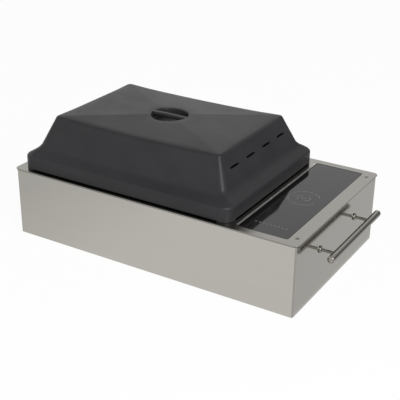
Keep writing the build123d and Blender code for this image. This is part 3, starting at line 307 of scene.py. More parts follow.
def finish(name, colour, metallic=0.0, roughness=0.5, level=0.5, grain_size=(0.004, 0.004, 0.004),
           tone_swing=0.06, rough_swing=0.05, bump=0.0, bump_height=0.00005):
    """A material with colour, roughness and relief that vary over one grain."""
    material, tree = new_material(name)
    factor = grain(tree, grain_size)
    inputs = {
        "Base Color": scaled(tree, colour[:3], spread_about(tree, factor, 1.0, tone_swing)),
        "Metallic": metallic,
        "Roughness": spread_about(tree, factor, roughness, rough_swing),
        "Specular IOR Level": level,
    }
    if bump:
        inputs["Normal"] = relief(tree, factor, bump, bump_height)
    close_shader(tree, inputs)
    return material


def brushed_stainless(name, colour, grain_size, roughness):
    """Type 304 sheet, belt brushed: a soft mirror with faint straight lines along the belt and a weak cloud.

    The real lines are about 0.1 mm apart; they are drawn as coarse as they need to show.
    """
    material, tree = new_material(name)
    lines = grain(tree, grain_size, 3.0)
    cloud = grain(tree, (0.25, 0.25, 0.25), 1.0)
    tone = product(tree, spread_about(tree, lines, 1.0, 0.02), spread_about(tree, cloud, 1.0, 0.02))
    close_shader(tree, {
        "Base Color": scaled(tree, colour[:3], tone),
        "Metallic": 1.0,
        "Roughness": spread_about(tree, lines, roughness, 0.02),
        "Normal": relief(tree, lines, 0.05, 0.000005),
    })
    return material


def moulded_nylon(colour):
    """Glass-filled nylon from a finely sparked tool: a soft sheen, faint grain and a few dusty patches."""
    material, tree = new_material("moulded_nylon_lid")
    spark = grain(tree, (0.0012, 0.0012, 0.0012), 2.0)
    patch = grain(tree, (0.06, 0.06, 0.03), 2.0)
    close_shader(tree, {
        "Base Color": scaled(tree, colour[:3], spread_about(tree, patch, 1.0, 0.12)),
        "Roughness": spread_about(tree, patch, 0.38, 0.05),
        "IOR": 1.5,
        "Specular IOR Level": 0.22,
        "Normal": relief(tree, spark, 0.25, 0.00004),
    })
    return material


def zinc_plated(colour):
    """Zinc-plated steel of every fastener: a dull bright metal with small uneven patches."""
    name = "zinc_plated_steel"
    return bpy.data.materials.get(name) or finish(name, colour, 1.0, 0.3, grain_size=(0.002, 0.002, 0.002))


def black_ceramic_glass(colour):
    """Float glass printed black behind. A deep black with a clear, faintly uneven reflection."""
    material, tree = new_material("black_printed_glass")
    smear = grain(tree, (0.03, 0.05, 0.03), 2.0)
    close_shader(tree, {
        "Base Color": scaled(tree, colour[:3], spread_about(tree, smear, 1.0, 0.2)),
        "Roughness": spread_about(tree, smear, 0.045, 0.02),
        "IOR": 1.5,
    })
    return material


def linked(name, data):
    """A new object in the scene."""
    thing = bpy.data.objects.new(name, data)
    bpy.context.scene.collection.objects.link(thing)
    return thing


def baked(name, work):
    """A new object at the origin from an edited mesh, which is then freed."""
    mesh = bpy.data.meshes.new(name)
    work.to_mesh(mesh)
    work.free()
    return linked(name, mesh)


def make_mesh(name, points, faces):
    """A mesh object at the origin from points in metres, with its faces outwards."""
    rough = bpy.data.meshes.new("rough")
    rough.from_pydata(points, [], faces)
    work = bmesh.new()
    work.from_mesh(rough)
    bpy.data.meshes.remove(rough)
    bmesh.ops.remove_doubles(work, verts=work.verts, dist=1e-7)
    bmesh.ops.recalc_face_normals(work, faces=work.faces)
    if work.calc_volume(signed=True) < 0:
        bmesh.ops.reverse_faces(work, faces=work.faces)
    return baked(name, work)


def evaluated(piece):
    """Replaces a piece's mesh by its evaluated one and removes its modifiers."""
    graph = bpy.context.evaluated_depsgraph_get()
    graph.update()
    mesh = bpy.data.meshes.new_from_object(piece.evaluated_get(graph))
    piece.modifiers.clear()
    piece.data = mesh
    return piece


def cut(piece, cutters):
    """Takes the cutters' volumes out of a piece, which may be made of forms that overlap."""
    for cutter in cutters:
        modifier = piece.modifiers.new("cut", "BOOLEAN")
        modifier.operation = "DIFFERENCE"
        modifier.solver = "EXACT"
        modifier.use_self = True
        modifier.object = cutter
    evaluated(piece)
    for cutter in cutters:
        bpy.data.objects.remove(cutter)


def soften(piece, sharp=30.0):
    """Smooth shading, broken at edges that turn by more than sharp degrees."""
    for face in piece.data.polygons:
        face.use_smooth = True
    piece.data.set_sharp_from_angle(angle=radians(sharp))
    return piece


def settle(piece, material, body, slot, *nodes):
    """Gives a piece its material, its body and the nodes that it stands for; the slot is not used."""
    piece.data.materials.clear()
    piece.data.materials.append(material)
    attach(piece, body)
    if nodes:
        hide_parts(*nodes)


def base_middle(low, high):
    """The middle of a box's underside."""
    return ((low.x + high.x) / 2, (low.y + high.y) / 2, low.z)


def dress(material, *nodes):
    """Gives frame nodes a better material."""
    for node in nodes:
        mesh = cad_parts[node].data
        mesh.materials.clear()
        mesh.materials.append(material)


def ring_faces(total, size, closed=False):
    """Faces between rings of points that share one count; where closed, the last ring meets the first."""
    faces = []
    for ring in range(total if closed else total - 1):
        above = (ring + 1) % total
        for i in range(size):
            j = (i + 1) % size
            faces.append((ring * size + i, ring * size + j, above * size + j, above * size + i))
    return faces


def prism(name, outline, low, high):
    """A closed prism from a flat outline of (x, y) points."""
    size = len(outline)
    points = [(x, y, low) for x, y in outline] + [(x, y, high) for x, y in outline]
    faces = [tuple(range(size))[::-1], tuple(range(size, 2 * size))] + ring_faces(2, size)
    return make_mesh(name, points, faces)


def stadium(long, width, steps=8):
    """The outline of a slot with round ends, long side along the first axis."""
    radius = width / 2
    reach = long / 2 - radius
    points = []
    for side, start in ((1, -pi / 2), (-1, pi / 2)):
        for step in range(steps + 1):
            turn = start + pi * step / steps
            points.append((side * reach + radius * cos(turn), radius * sin(turn)))
    return points


def rounded_frame(name, low, high, outset, width, corner, steps=8):
    """A flat ring round a box: its outer edge stands out by outset, and its border is width wide."""
    rings = []
    for inset, z in ((0.0, low.z), (width, low.z), (width, high.z), (0.0, high.z)):
        radius = corner - inset if corner > inset else 0.2 * corner
        ring = []
        for quadrant, (sx, sy) in enumerate(QUADRANTS):
            centre_x = high.x + outset - inset - radius if sx > 0 else low.x - outset + inset + radius
            centre_y = high.y + outset - inset - radius if sy > 0 else low.y - outset + inset + radius
            for step in range(steps + 1):
                turn = (quadrant + step / steps) * pi / 2
                ring.append((centre_x + radius * cos(turn), centre_y + radius * sin(turn), z))
        rings.append(ring)
    points = [point for ring in rings for point in ring]
    return make_mesh(name, points, ring_faces(len(rings), len(rings[0]), closed=True))


def eased(line, radius, steps=3):
    """An open line of flat points with its inner corners rounded."""
    result = [line[0]]
    for before, corner, after in zip(line, line[1:], line[2:]):
        middle = Vector(corner)
        back = Vector(before) - middle
        ahead = Vector(after) - middle
        reach = min(radius, 0.45 * back.length, 0.45 * ahead.length)
        start = middle + back.normalized() * reach
        end = middle + ahead.normalized() * reach
        for step in range(steps + 1):
            share = step / steps
            point = start * (1 - share) ** 2 + middle * 2 * share * (1 - share) + end * share ** 2
            result.append(tuple(point))
    result.append(line[-1])
    return result


def turned(name, rings, closed=False, steps=48):
    """Rings about the Z axis, each (radius, height), or (radius over corners, height, number of sides)."""
    points = []
    for radius, height, *sides in rings:
        half = pi / sides[0] if sides else None
        for step in range(steps):
            turn = 2 * pi * step / steps
            reach = radius * cos(half) / cos(turn % (2 * half) - half) if half else radius
            points.append((reach * cos(turn), reach * sin(turn), height))
    total = len(rings)
    faces = ring_faces(total, steps, closed)
    if not closed:
        faces.append(tuple(reversed(range(steps))))
        faces.append(tuple(range((total - 1) * steps, total * steps)))
    return make_mesh(name, points, faces)


def refined(name, node, material, body, slot):
    """A smooth-shaded copy of a frame node with its loose triangles merged."""
    work = bmesh.new()
    work.from_mesh(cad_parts[node].data)
    bmesh.ops.remove_doubles(work, verts=work.verts, dist=1e-6)
    bmesh.ops.dissolve_limit(work, angle_limit=radians(0.1), verts=work.verts, edges=work.edges)
    piece = soften(baked(name, work))
    modifier = piece.modifiers.new("even_flats", "WEIGHTED_NORMAL")
    modifier.weight = 100
    modifier.keep_sharp = True
    settle(evaluated(piece), material, body, slot, node)


# Geometry node trees


def geometry_tree(name, inputs):
    """An empty geometry node tree with named inputs, and the node that gives them."""
    tree = bpy.data.node_groups.new(name, "GeometryNodeTree")
    for label, kind in (("Geometry", "Geometry"),) + inputs:
        tree.interface.new_socket(label, in_out="INPUT", socket_type="NodeSocket" + kind)
    tree.interface.new_socket("Geometry", in_out="OUTPUT", socket_type="NodeSocketGeometry")
    return tree, add_node(tree, "NodeGroupInput").outputs


def end_tree(tree, geometry, material):
    """Closes a tree: real geometry with its material."""
    real = add_node(tree, "GeometryNodeRealizeInstances", None, {"Geometry": geometry})
    named = add_node(tree, "GeometryNodeSetMaterial", None, {
        "Geometry": real.outputs["Geometry"], "Material": material})
    add_node(tree, "NodeGroupOutput", None, {"Geometry": named.outputs["Geometry"]})
    return tree


def grown(name, tree, values, mesh=None):
    """A plain mesh object made by a geometry node tree from the given input values."""
    piece = linked(name, mesh or bpy.data.meshes.new(name))
    modifier = piece.modifiers.new(tree.name, "NODES")
    modifier.node_group = tree
    for item in tree.interface.items_tree:
        if item.in_out == "INPUT" and item.name in values:
            modifier[item.identifier] = values[item.name]
    return evaluated(piece)


def row_of_points(tree, total, step):
    """A line of points about the origin, from its number of points and the step between them."""
    start = scaled(tree, step, times(tree, total, -0.5, 0.5))
    line = add_node(tree, "GeometryNodeMeshLine", {"mode": "OFFSET"}, {
        "Count": total, "Start Location": start, "Offset": step})
    return line.outputs["Mesh"]


def repeat_tree():
    """Repeats a piece in columns and rows about a place."""
    tree, given = geometry_tree("repeat_in_rows", (
        ("Piece", "Object"), ("Columns", "Int"), ("Column Step", "Vector"), ("Rows", "Int"),
        ("Row Step", "Vector"), ("Place", "Vector"), ("Material", "Material")))
    columns = row_of_points(tree, given["Columns"], given["Column Step"])
    rows = row_of_points(tree, given["Rows"], given["Row Step"])
    grid = add_node(tree, "GeometryNodeInstanceOnPoints", None, {"Points": columns, "Instance": rows})
    points = add_node(tree, "GeometryNodeRealizeInstances", None, {"Geometry": grid.outputs["Instances"]})
    source = add_node(tree, "GeometryNodeObjectInfo", None, {"Object": given["Piece"], "As Instance": True})
    copies = add_node(tree, "GeometryNodeInstanceOnPoints", None, {
        "Points": points.outputs["Geometry"], "Instance": source.outputs["Geometry"]})
    moved = add_node(tree, "GeometryNodeTransform", None, {
        "Geometry": copies.outputs["Instances"], "Translation": given["Place"]})
    return end_tree(tree, moved.outputs["Geometry"], given["Material"])


def repeated(name, piece, columns, column_step, place, material, rows=1, row_step=(0.0, 0.0, 0.0)):
    """Copies of a piece in columns and rows; the first piece goes away."""
    tree = bpy.data.node_groups.get("repeat_in_rows") or repeat_tree()
    copies = grown(name, tree, {
        "Piece": piece, "Columns": columns, "Column Step": column_step, "Rows": rows, "Row Step": row_step,
        "Place": tuple(place), "Material": material})
    bpy.data.objects.remove(piece)
    return copies


def eased_curve(tree, curve, count, radius):
    """A curve with its corners rounded in count steps each."""
    return add_node(tree, "GeometryNodeFilletCurve", {"mode": "POLY"}, {
        "Curve": curve, "Count": count, "Radius": radius}).outputs["Curve"]


def bar_mesh(tree, half, across, foot, top, height, soft):
    """A long bar about the origin, narrower at its top, its long edges rounded. Across is its direction."""
    start = scaled(tree, across, half)
    line = add_node(tree, "GeometryNodeCurvePrimitiveLine", None, {
        "Start": start, "End": scaled(tree, start, -1.0)})
    section = add_node(tree, "GeometryNodeCurvePrimitiveQuadrilateral", {"mode": "TRAPEZOID"}, {
        "Bottom Width": top, "Top Width": foot, "Height": height, "Offset": 0.0})
    bar = add_node(tree, "GeometryNodeCurveToMesh", None, {
        "Curve": line.outputs["Curve"], "Profile Curve": eased_curve(tree, section.outputs["Curve"], 3, soft),
        "Fill Caps": True})
    return bar.outputs["Mesh"]


def grate_tree():
    """A cast grate about the middle of its underside: a rounded rim, sloped bars across it, ties along it."""
    tree, given = geometry_tree("cast_grate", (
        ("Length", "Float"), ("Width", "Float"), ("Height", "Float"), ("Rim", "Float"), ("Corner", "Float"),
        ("Bars", "Int"), ("Bar Width", "Float"), ("Bar Lift", "Float"), ("Bar Step", "Vector"),
        ("Tie Width", "Float"), ("Tie Height", "Float"), ("Tie Lift", "Float"), ("Tie Step", "Vector"),
        ("Edge Round", "Float"), ("Material", "Material")))
    path = add_node(tree, "GeometryNodeCurvePrimitiveQuadrilateral", None, {
        "Width": times(tree, given["Rim"], -1.0, given["Length"]),
        "Height": times(tree, given["Rim"], -1.0, given["Width"])}).outputs["Curve"]
    section = add_node(tree, "GeometryNodeCurvePrimitiveQuadrilateral", None, {
        "Width": given["Rim"], "Height": given["Height"]}).outputs["Curve"]
    corner = times(tree, given["Rim"], -0.5, given["Corner"])
    rim = add_node(tree, "GeometryNodeCurveToMesh", None, {
        "Curve": eased_curve(tree, path, 8, corner),
        "Profile Curve": eased_curve(tree, section, 3, given["Edge Round"])})
    # Bars and ties end inside the rim, 0.7 of its width in from its outer edge
    bar_reach = times(tree, given["Rim"], -0.7, times(tree, given["Width"], 0.5))
    tie_reach = times(tree, given["Rim"], -0.7, times(tree, given["Length"], 0.5))
    bar_height = times(tree, given["Bar Lift"], -1.0, given["Height"])
    bar = bar_mesh(tree, bar_reach, (0.0, 1.0, 0.0), given["Bar Width"],
                   times(tree, given["Bar Width"], 0.5), bar_height, given["Edge Round"])
    tie = bar_mesh(tree, tie_reach, (1.0, 0.0, 0.0), given["Tie Width"], given["Tie Width"],
                   given["Tie Height"], given["Edge Round"])
    parts = [(rim.outputs["Mesh"], times(tree, given["Height"], 0.5))]
    rows = ((bar, given["Bars"], given["Bar Step"], times(tree, bar_height, 0.5, given["Bar Lift"])),
            (tie, 2, given["Tie Step"], times(tree, given["Tie Height"], 0.5, given["Tie Lift"])))
    for mesh, total, step, rise in rows:
        copies = add_node(tree, "GeometryNodeInstanceOnPoints", None, {
            "Points": row_of_points(tree, total, step), "Instance": mesh})
        parts.append((copies.outputs["Instances"], rise))
    joined = add_node(tree, "GeometryNodeJoinGeometry")
    for geometry, rise in parts:
        lift = add_node(tree, "ShaderNodeCombineXYZ", None, {"Z": rise})
        moved = add_node(tree, "GeometryNodeTransform", None, {
            "Geometry": geometry, "Translation": lift.outputs["Vector"]})
        tree.links.new(moved.outputs["Geometry"], joined.inputs["Geometry"])
    return end_tree(tree, joined.outputs["Geometry"], given["Material"])


def rod_tree():
    """A round rod along a line of points, bent at each inner point."""
    tree, given = geometry_tree("bent_rod", (
        ("Rod Radius", "Float"), ("Bend Radius", "Float"), ("Material", "Material")))
    route = add_node(tree, "GeometryNodeMeshToCurve", None, {"Mesh": given["Geometry"]})
    bent = add_node(tree, "GeometryNodeFilletCurve", {"mode": "POLY"}, {
        "Curve": route.outputs["Curve"], "Count": 10, "Radius": given["Bend Radius"], "Limit Radius": True})
    section = add_node(tree, "GeometryNodeCurvePrimitiveCircle", None, {
        "Resolution": 20, "Radius": given["Rod Radius"]})
    rod = add_node(tree, "GeometryNodeCurveToMesh", None, {
        "Curve": bent.outputs["Curve"], "Profile Curve": section.outputs["Curve"], "Fill Caps": True})
    return end_tree(tree, rod.outputs["Mesh"], given["Material"])


# Lid


class LidForm:
    """The lid's surface as rings of equally many points, each a rounded rectangle or a circle."""

    arc_steps = 10
    long_steps = 26
    short_steps = 20

    def __init__(self, sizes, half_length, half_width):
        self.s = sizes
        self.half_x = half_length
        self.half_y = half_width
        straight_x = 2 * (half_length - sizes.corner)
        straight_y = 2 * (half_width - sizes.corner)
        self.runs = []
        for quadrant in range(4):
            straight = straight_x if quadrant % 2 == 0 else straight_y
            steps = self.long_steps if quadrant % 2 == 0 else self.short_steps
            edge = (sizes.foot - sizes.corner) / straight
            step = 0.7 * MM / straight
            run = [edge - step, edge + step]
            run += [k / steps for k in range(1, steps)]
            run += [1 - edge - step, 1 - edge + step]
            self.runs.append(run)

    def outline(self, inset, corner):
        """Points of a rounded rectangle; inset may be one number or one for each point."""
        insets = inset if isinstance(inset, list) else [inset] * self.ring_size()
        points = []
        for quadrant, (sx, sy) in enumerate(QUADRANTS):
            for step in range(self.arc_steps + 1):
                k = insets[len(points)]
                turn = (quadrant + step / self.arc_steps) * pi / 2
                points.append((sx * (self.half_x - k - corner) + corner * cos(turn),
                               sy * (self.half_y - k - corner) + corner * sin(turn)))
            nx, ny = QUADRANTS[(quadrant + 1) % 4]
            turn = (quadrant + 1) * pi / 2
            for share in self.runs[quadrant]:
                k = insets[len(points)]
                x0 = sx * (self.half_x - k - corner) + corner * cos(turn)
                y0 = sy * (self.half_y - k - corner) + corner * sin(turn)
                x1 = nx * (self.half_x - k - corner) + corner * cos(turn)
                y1 = ny * (self.half_y - k - corner) + corner * sin(turn)
                points.append((x0 + (x1 - x0) * share, y0 + (y1 - y0) * share))
        return points

    def ring_size(self):
        """Number of points in every ring."""
        return 4 * (self.arc_steps + 1) + sum(len(run) for run in self.runs)

    def top(self, x, y):
        """Height of the crown: shallow end planes and dipped side planes that meet at four soft ridges."""
        s = self.s
        reach_x = self.half_x - s.crown_inset
        reach_y = self.half_y - s.crown_inset
        middle = s.crown_height + s.crown_rise
        end = middle - s.crown_rise * abs(x) / reach_x
        across = abs(y) / reach_y
        lean = 0.0 if across < 1e-9 else min(abs(x) / reach_x / across, 1.2)
        side = middle - across * (s.crown_rise + s.side_dip * (1 - lean ** 2))
        near = min(max(0.5 + 0.5 * (side - end) / s.ridge_soft, 0.0), 1.0)
        return side + (end - side) * near - s.ridge_soft * near * (1 - near)

    def crown_rounds(self, points):
        """Radius of the crown's edge at each point of its outline: small at corners, wide along sides."""
        s = self.s
        reach_x = self.half_x - s.crown_inset
        reach_y = self.half_y - s.crown_inset
        rounds = []
        for x, y in points:
            away = min(hypot(abs(x) - reach_x, abs(y) - reach_y) / s.crown_blend, 1.0)
            rounds.append(s.crown_round + (s.crown_round_mid - s.crown_round) * away * away * (3 - 2 * away))
        return rounds

    def foot_line(self, points):
        """Height of the lower edge at each point: zero on the corner feet, raised between them."""
        span_x = self.half_x - self.s.foot
        span_y = self.half_y - self.s.foot
        return [0.0 if abs(x) > span_x and abs(y) > span_y else self.s.gap for x, y in points]

    def side_profile(self, offset):
        """(inset, height, corner) from skirt to wall on a surface offset inwards, and the wall's slope."""
        s = self.s
        profile = []
        radius = s.edge - offset
        for step in range(9):
            turn = (pi / 2 - s.shelf) * step / 8
            inset = s.edge - radius * cos(turn)
            profile.append((inset, s.skirt + radius * sin(turn), s.corner - inset))
        shelf_run = s.wall_inset - s.edge * (1 - sin(s.shelf))
        wall_start = s.skirt + s.edge * cos(s.shelf) + shelf_run * tan(s.shelf)
        slope = atan2(s.crown_height - wall_start, s.crown_inset - s.wall_inset)
        bend = slope - s.shelf
        aim = (slope + s.shelf) / 2
        middle = (s.wall_inset - s.hollow * sin(aim) / cos(bend / 2),
                  wall_start + s.hollow * cos(aim) / cos(bend / 2))
        radius = s.hollow + offset
        low_corner = s.corner - middle[0] - radius * sin(s.shelf)
        high_corner = s.wall_corner - offset
        for step in range(9):
            turn = s.shelf + bend * step / 8
            profile.append((middle[0] + radius * sin(turn), middle[1] - radius * cos(turn),
                            low_corner + (high_corner - low_corner) * step / 8))
        return profile, slope

    def wall_inset_at(self, height):
        """How far in the sloped wall is at a height above the plate."""
        s = self.s
        slope = self.side_profile(0.0)[1]
        return s.crown_inset - (s.crown_height - height) / tan(slope)

    def build(self):
        """Points and faces of the moulding: recess, crown, wall and skirt, then the same back up inside."""
        s = self.s
        # Bevel of the lower edge, rounding at the recess's floor, height of an extra ring in the skirt
        lip = 0.6 * MM
        soft = 2.5 * MM
        skirt_ring = 8.0 * MM
        rings = []
        middle = s.crown_height + s.crown_rise

        # Recess floor, outwards
        edge = self.outline(s.crown_inset, s.crown_corner)
        rays = [(x / hypot(x, y), y / hypot(x, y)) for x, y in edge]
        floor = middle - s.recess_depth
        for radius in (0.4 * s.recess, s.recess - soft):
            rings.append([(radius * x, radius * y, floor) for x, y in rays])
        for step in range(1, 5):
            turn = pi / 2 * step / 4
            radius = s.recess - soft + soft * sin(turn)
            rings.append([(radius * x, radius * y, floor + soft * (1 - cos(turn))) for x, y in rays])
        rim = s.recess_round
        for step in range(5):
            turn = pi / 2 * step / 4
            radius = s.recess + rim * (1 - cos(turn))
            rings.append([(radius * x, radius * y, self.top(radius * x, radius * y) - rim * (1 - sin(turn)))
                          for x, y in rays])

        # Crown, from the recess's rim to its rounded edge
        profile, slope = self.side_profile(0.0)
        heights = [self.top(x, y) for x, y in edge]
        insets = [s.crown_inset - (s.crown_height - z) / tan(slope) for z in heights]
        rounds = self.crown_rounds(edge)
        tangents = [radius * tan(slope / 2) for radius in rounds]
        inner = self.outline([k + t for k, t in zip(insets, tangents)], s.crown_corner)
        start = s.recess + rim
        for share in (0.12, 0.3, 0.5, 0.7, 0.88, 1.0):
            ring = []
            for (x, y), (rx, ry) in zip(inner, rays):
                px = start * rx + (x - start * rx) * share
                py = start * ry + (y - start * ry) * share
                ring.append((px, py, self.top(px, py)))
            rings.append(ring)
        for step in range(1, 9):
            turn = slope * step / 8
            outline = self.outline([k + t - r * sin(turn) for k, t, r in zip(insets, tangents, rounds)],
                                   s.crown_corner)
            rings.append([(x, y, z - r * (1 - cos(turn))) for (x, y), z, r in zip(outline, heights, rounds)])

        # Wall, shoulder and skirt, downwards
        for share in (0.25, 0.5, 0.75):
            low_inset, low_height, low_corner = profile[-1]
            top_insets = [k + t - r * sin(slope) for k, t, r in zip(insets, tangents, rounds)]
            top_heights = [z - r * (1 - cos(slope)) for z, r in zip(heights, rounds)]
            mixed = [a + (low_inset - a) * share for a in top_insets]
            outline = self.outline(mixed, s.crown_corner + (low_corner - s.crown_corner) * share)
            ring = [(x, y, z + (low_height - z) * share) for (x, y), z in zip(outline, top_heights)]
            rings.append(ring)
        for inset, height, corner in reversed(profile):
            rings.append([(x, y, height) for x, y in self.outline(inset, corner)])
        base = self.outline(0.0, s.corner)
        feet = self.foot_line(base)
        rings.append([(x, y, skirt_ring) for x, y in base])
        rings.append([(x, y, z + lip) for (x, y), z in zip(base, feet)])
        for inset, rise in ((lip, 0.0), (s.wall - lip, 0.0), (s.wall, lip)):
            outline = self.outline(inset, s.corner - inset)
            rings.append([(x, y, z + rise) for (x, y), z in zip(outline, feet)])

        # Inside, upwards
        profile, slope = self.side_profile(s.wall)
        rings.append([(x, y, skirt_ring) for x, y in self.outline(s.wall, s.corner - s.wall)])
        for inset, height, corner in profile:
            rings.append([(x, y, height) for x, y in self.outline(inset, corner)])
        side = s.wall / sin(slope)
        inner_insets = [k + side - s.wall / tan(slope) for k in insets]
        outline = self.outline(inner_insets, max(s.crown_corner - s.wall, 2.0 * MM))
        rings.append([(x, y, z - s.wall) for (x, y), z in zip(outline, heights)])
        cup = s.recess + s.recess_wall
        for share in (0.5, 1.0):
            ring = []
            for (x, y), (rx, ry) in zip(outline, rays):
                px = x + (cup * rx - x) * share
                py = y + (cup * ry - y) * share
                ring.append((px, py, self.top(px, py) - s.wall))
            rings.append(ring)
        bottom = floor - s.recess_wall
        for radius in (cup, 0.4 * cup):
            rings.append([(radius * x, radius * y, bottom) for x, y in rays])

        points = [point for ring in rings for point in ring]
        size = self.ring_size()
        faces = ring_faces(len(rings), size)
        points.append((0.0, 0.0, floor))
        points.append((0.0, 0.0, bottom))
        last = (len(rings) - 1) * size
        for i in range(size):
            j = (i + 1) % size
            faces.append((j, i, len(points) - 2))
            faces.append((last + i, last + j, len(points) - 1))
        return points, faces

    def grip(self):
        """The grip bar across the recess, flush with the crown, its four long edges rounded."""
        s = self.s
        half = s.grip_width / 2
        # Radius of the long edges, how far the ends stay inside the cup, how far the top lies below the crown
        soft = 2.0 * MM
        end_gap = 0.1 * MM
        sink = 0.02 * MM
        section = []
        for sy, sz, first in ((1, 0, 0), (-1, 0, 1), (-1, -1, 2), (1, -1, 3)):
            for step in range(5):
                turn = (first + step / 4) * pi / 2
                section.append((sy * (half - soft) + soft * cos(turn),
                                -soft if sz == 0 else -s.grip_depth + soft, soft * sin(turn)))
        reach = s.recess + s.recess_wall - end_gap
        stations = 24
        points = []
        for station in range(stations + 1):
            x = -reach + 2 * reach * station / stations
            for y, base, rise in section:
                points.append((x, y, self.top(x, y) - sink + base + rise))
        size = len(section)
        faces = [tuple(range(size)), tuple(stations * size + i for i in reversed(range(size)))]
        faces += ring_faces(stations + 1, size)
        return points, faces


def placed(points, centre):
    """Points moved from the origin to a centre."""
    return [(x + centre[0], y + centre[1], z + centre[2]) for x, y, z in points]


class GRILL_OT_lid(bpy.types.Operator):
    """Models the lid: skirt, shoulder, sloped walls, ridged crown, recess with grip bar, and vent slots"""
    bl_idname = "grill.lid"
    bl_label = "Lid"

    def execute(self, context):
        sizes = context.scene.grill_lid
        low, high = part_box("lid_shell")
        centre = base_middle(low, high)
        form = LidForm(sizes, (high.x - low.x) / 2, (high.y - low.y) / 2)
        points, faces = form.build()
        lid = make_mesh("lid_moulding", placed(points, centre), faces)
        material = moulded_nylon(context.scene.grill_colours.lid_nylon)
        reach = 8.0 * MM
        slot = prism("slot", stadium(sizes.slot_length, sizes.slot_width), -reach, reach)
        slot.data.transform(Matrix.Rotation(-sizes.slot_fall, 4, "Y") @ Matrix.Rotation(pi / 2, 4, "Z")
                            @ Matrix.Rotation(pi / 2, 4, "X"))
        wall_x = high.x - form.wall_inset_at(sizes.slot_height)
        slots = repeated("vent_slots", slot, sizes.slots, (0.0, sizes.slot_pitch, 0.0),
                         (wall_x, 0.0, low.z + sizes.slot_height), material)
        cut(lid, [slots])
        settle(soften(lid, 32), material, "lid", "grey_moulded_lid", "lid_shell")
        points, faces = form.grip()
        grip = make_mesh("lid_grip_bar", placed(points, centre), faces)
        settle(soften(grip, 40), material, "lid", "grey_moulded_lid")
        return {"FINISHED"}


# Casing, plate and handle


class GRILL_OT_casing(bpy.types.Operator):
    """Models the folded casing, its feet and the screws in its base"""
    bl_idname = "grill.casing"
    bl_label = "Casing"

    def execute(self, context):
        colours = context.scene.grill_colours
        sizes = context.scene.grill_fasteners
        steel = brushed_stainless("brushed_stainless_casing", colours.casing_steel, (0.12, 0.12, 0.0012),
                                  0.11)
        refined("casing_band", "casing_shell", steel, "casing", "brushed_stainless")
        galvanised = finish("galvanised_sheet", linear("#8f9294"), 1.0, 0.45,
                            grain_size=(0.012, 0.012, 0.012), tone_swing=0.12, rough_swing=0.1)
        dress(galvanised, "casing_base", "floor_shield", "heat_shield", "plate_tongues", "glass_seat")
        rubber = finish("moulded_rubber_feet", colours.foot_black, 0.0, 0.7, 0.3, (0.0008, 0.0008, 0.0008),
                        bump=0.3)
        self.feet(sizes, rubber)
        plated = zinc_plated(colours.screw_steel)
        self.pan_screws(sizes, plated, "base_fixing_screws", "base_screws", 3)
        self.pan_screws(sizes, plated, "foot_fixing_screws", "foot_screws", 2)
        return {"FINISHED"}

    def feet(self, sizes, rubber):
        """Four tapered feet with a pocket for the screw, on the corners of a rectangle."""
        low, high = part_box("feet")
        top = high.z - low.z
        bore = sizes.pan_shank + 0.2 * MM
        floor_radius = sizes.foot - sizes.foot_taper
        section = [(sizes.pocket, sizes.pocket_depth), (sizes.pocket, 0.0), (floor_radius, 0.0),
                   (sizes.foot, top), (bore, top), (bore, sizes.pocket_depth),
                   (sizes.pocket, sizes.pocket_depth)]
        foot = turned("foot", eased(section, 0.4 * MM)[:-1], closed=True)
        reach = 2 * sizes.foot
        feet = repeated("rubber_feet", foot, 2, (high.x - low.x - reach, 0.0, 0.0),
                        base_middle(low, high), rubber, 2, (0.0, high.y - low.y - reach, 0.0))
        settle(soften(feet, 40), rubber, "casing", "black_rubber_feet", "feet")

    def pan_screws(self, sizes, plated, name, node, columns):
        """Pan-head screws with a hexagon socket, heads down, in two rows."""
        low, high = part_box(node)
        head = sizes.pan_head
        drive = sizes.drive
        rings = [(drive, sizes.drive_depth, 6), (drive, 0.0, 6), (head - 0.5 * MM, 0.0),
                 (head - 0.15 * MM, 0.15 * MM), (head, 0.5 * MM), (head, sizes.pan_height),
                 (sizes.pan_shank, sizes.pan_height),
                 (sizes.pan_shank, high.z - low.z - 0.3 * MM), (sizes.pan_shank - 0.3 * MM, high.z - low.z)]
        reach = 2 * head
        step = (high.x - low.x - reach) / (columns - 1)
        screws = repeated(name, turned("screw", rings), columns, (step, 0.0, 0.0),
                          base_middle(low, high), plated, 2, (0.0, high.y - low.y - reach, 0.0))
        settle(soften(screws, 35), plated, "casing", "screw_steel", node)


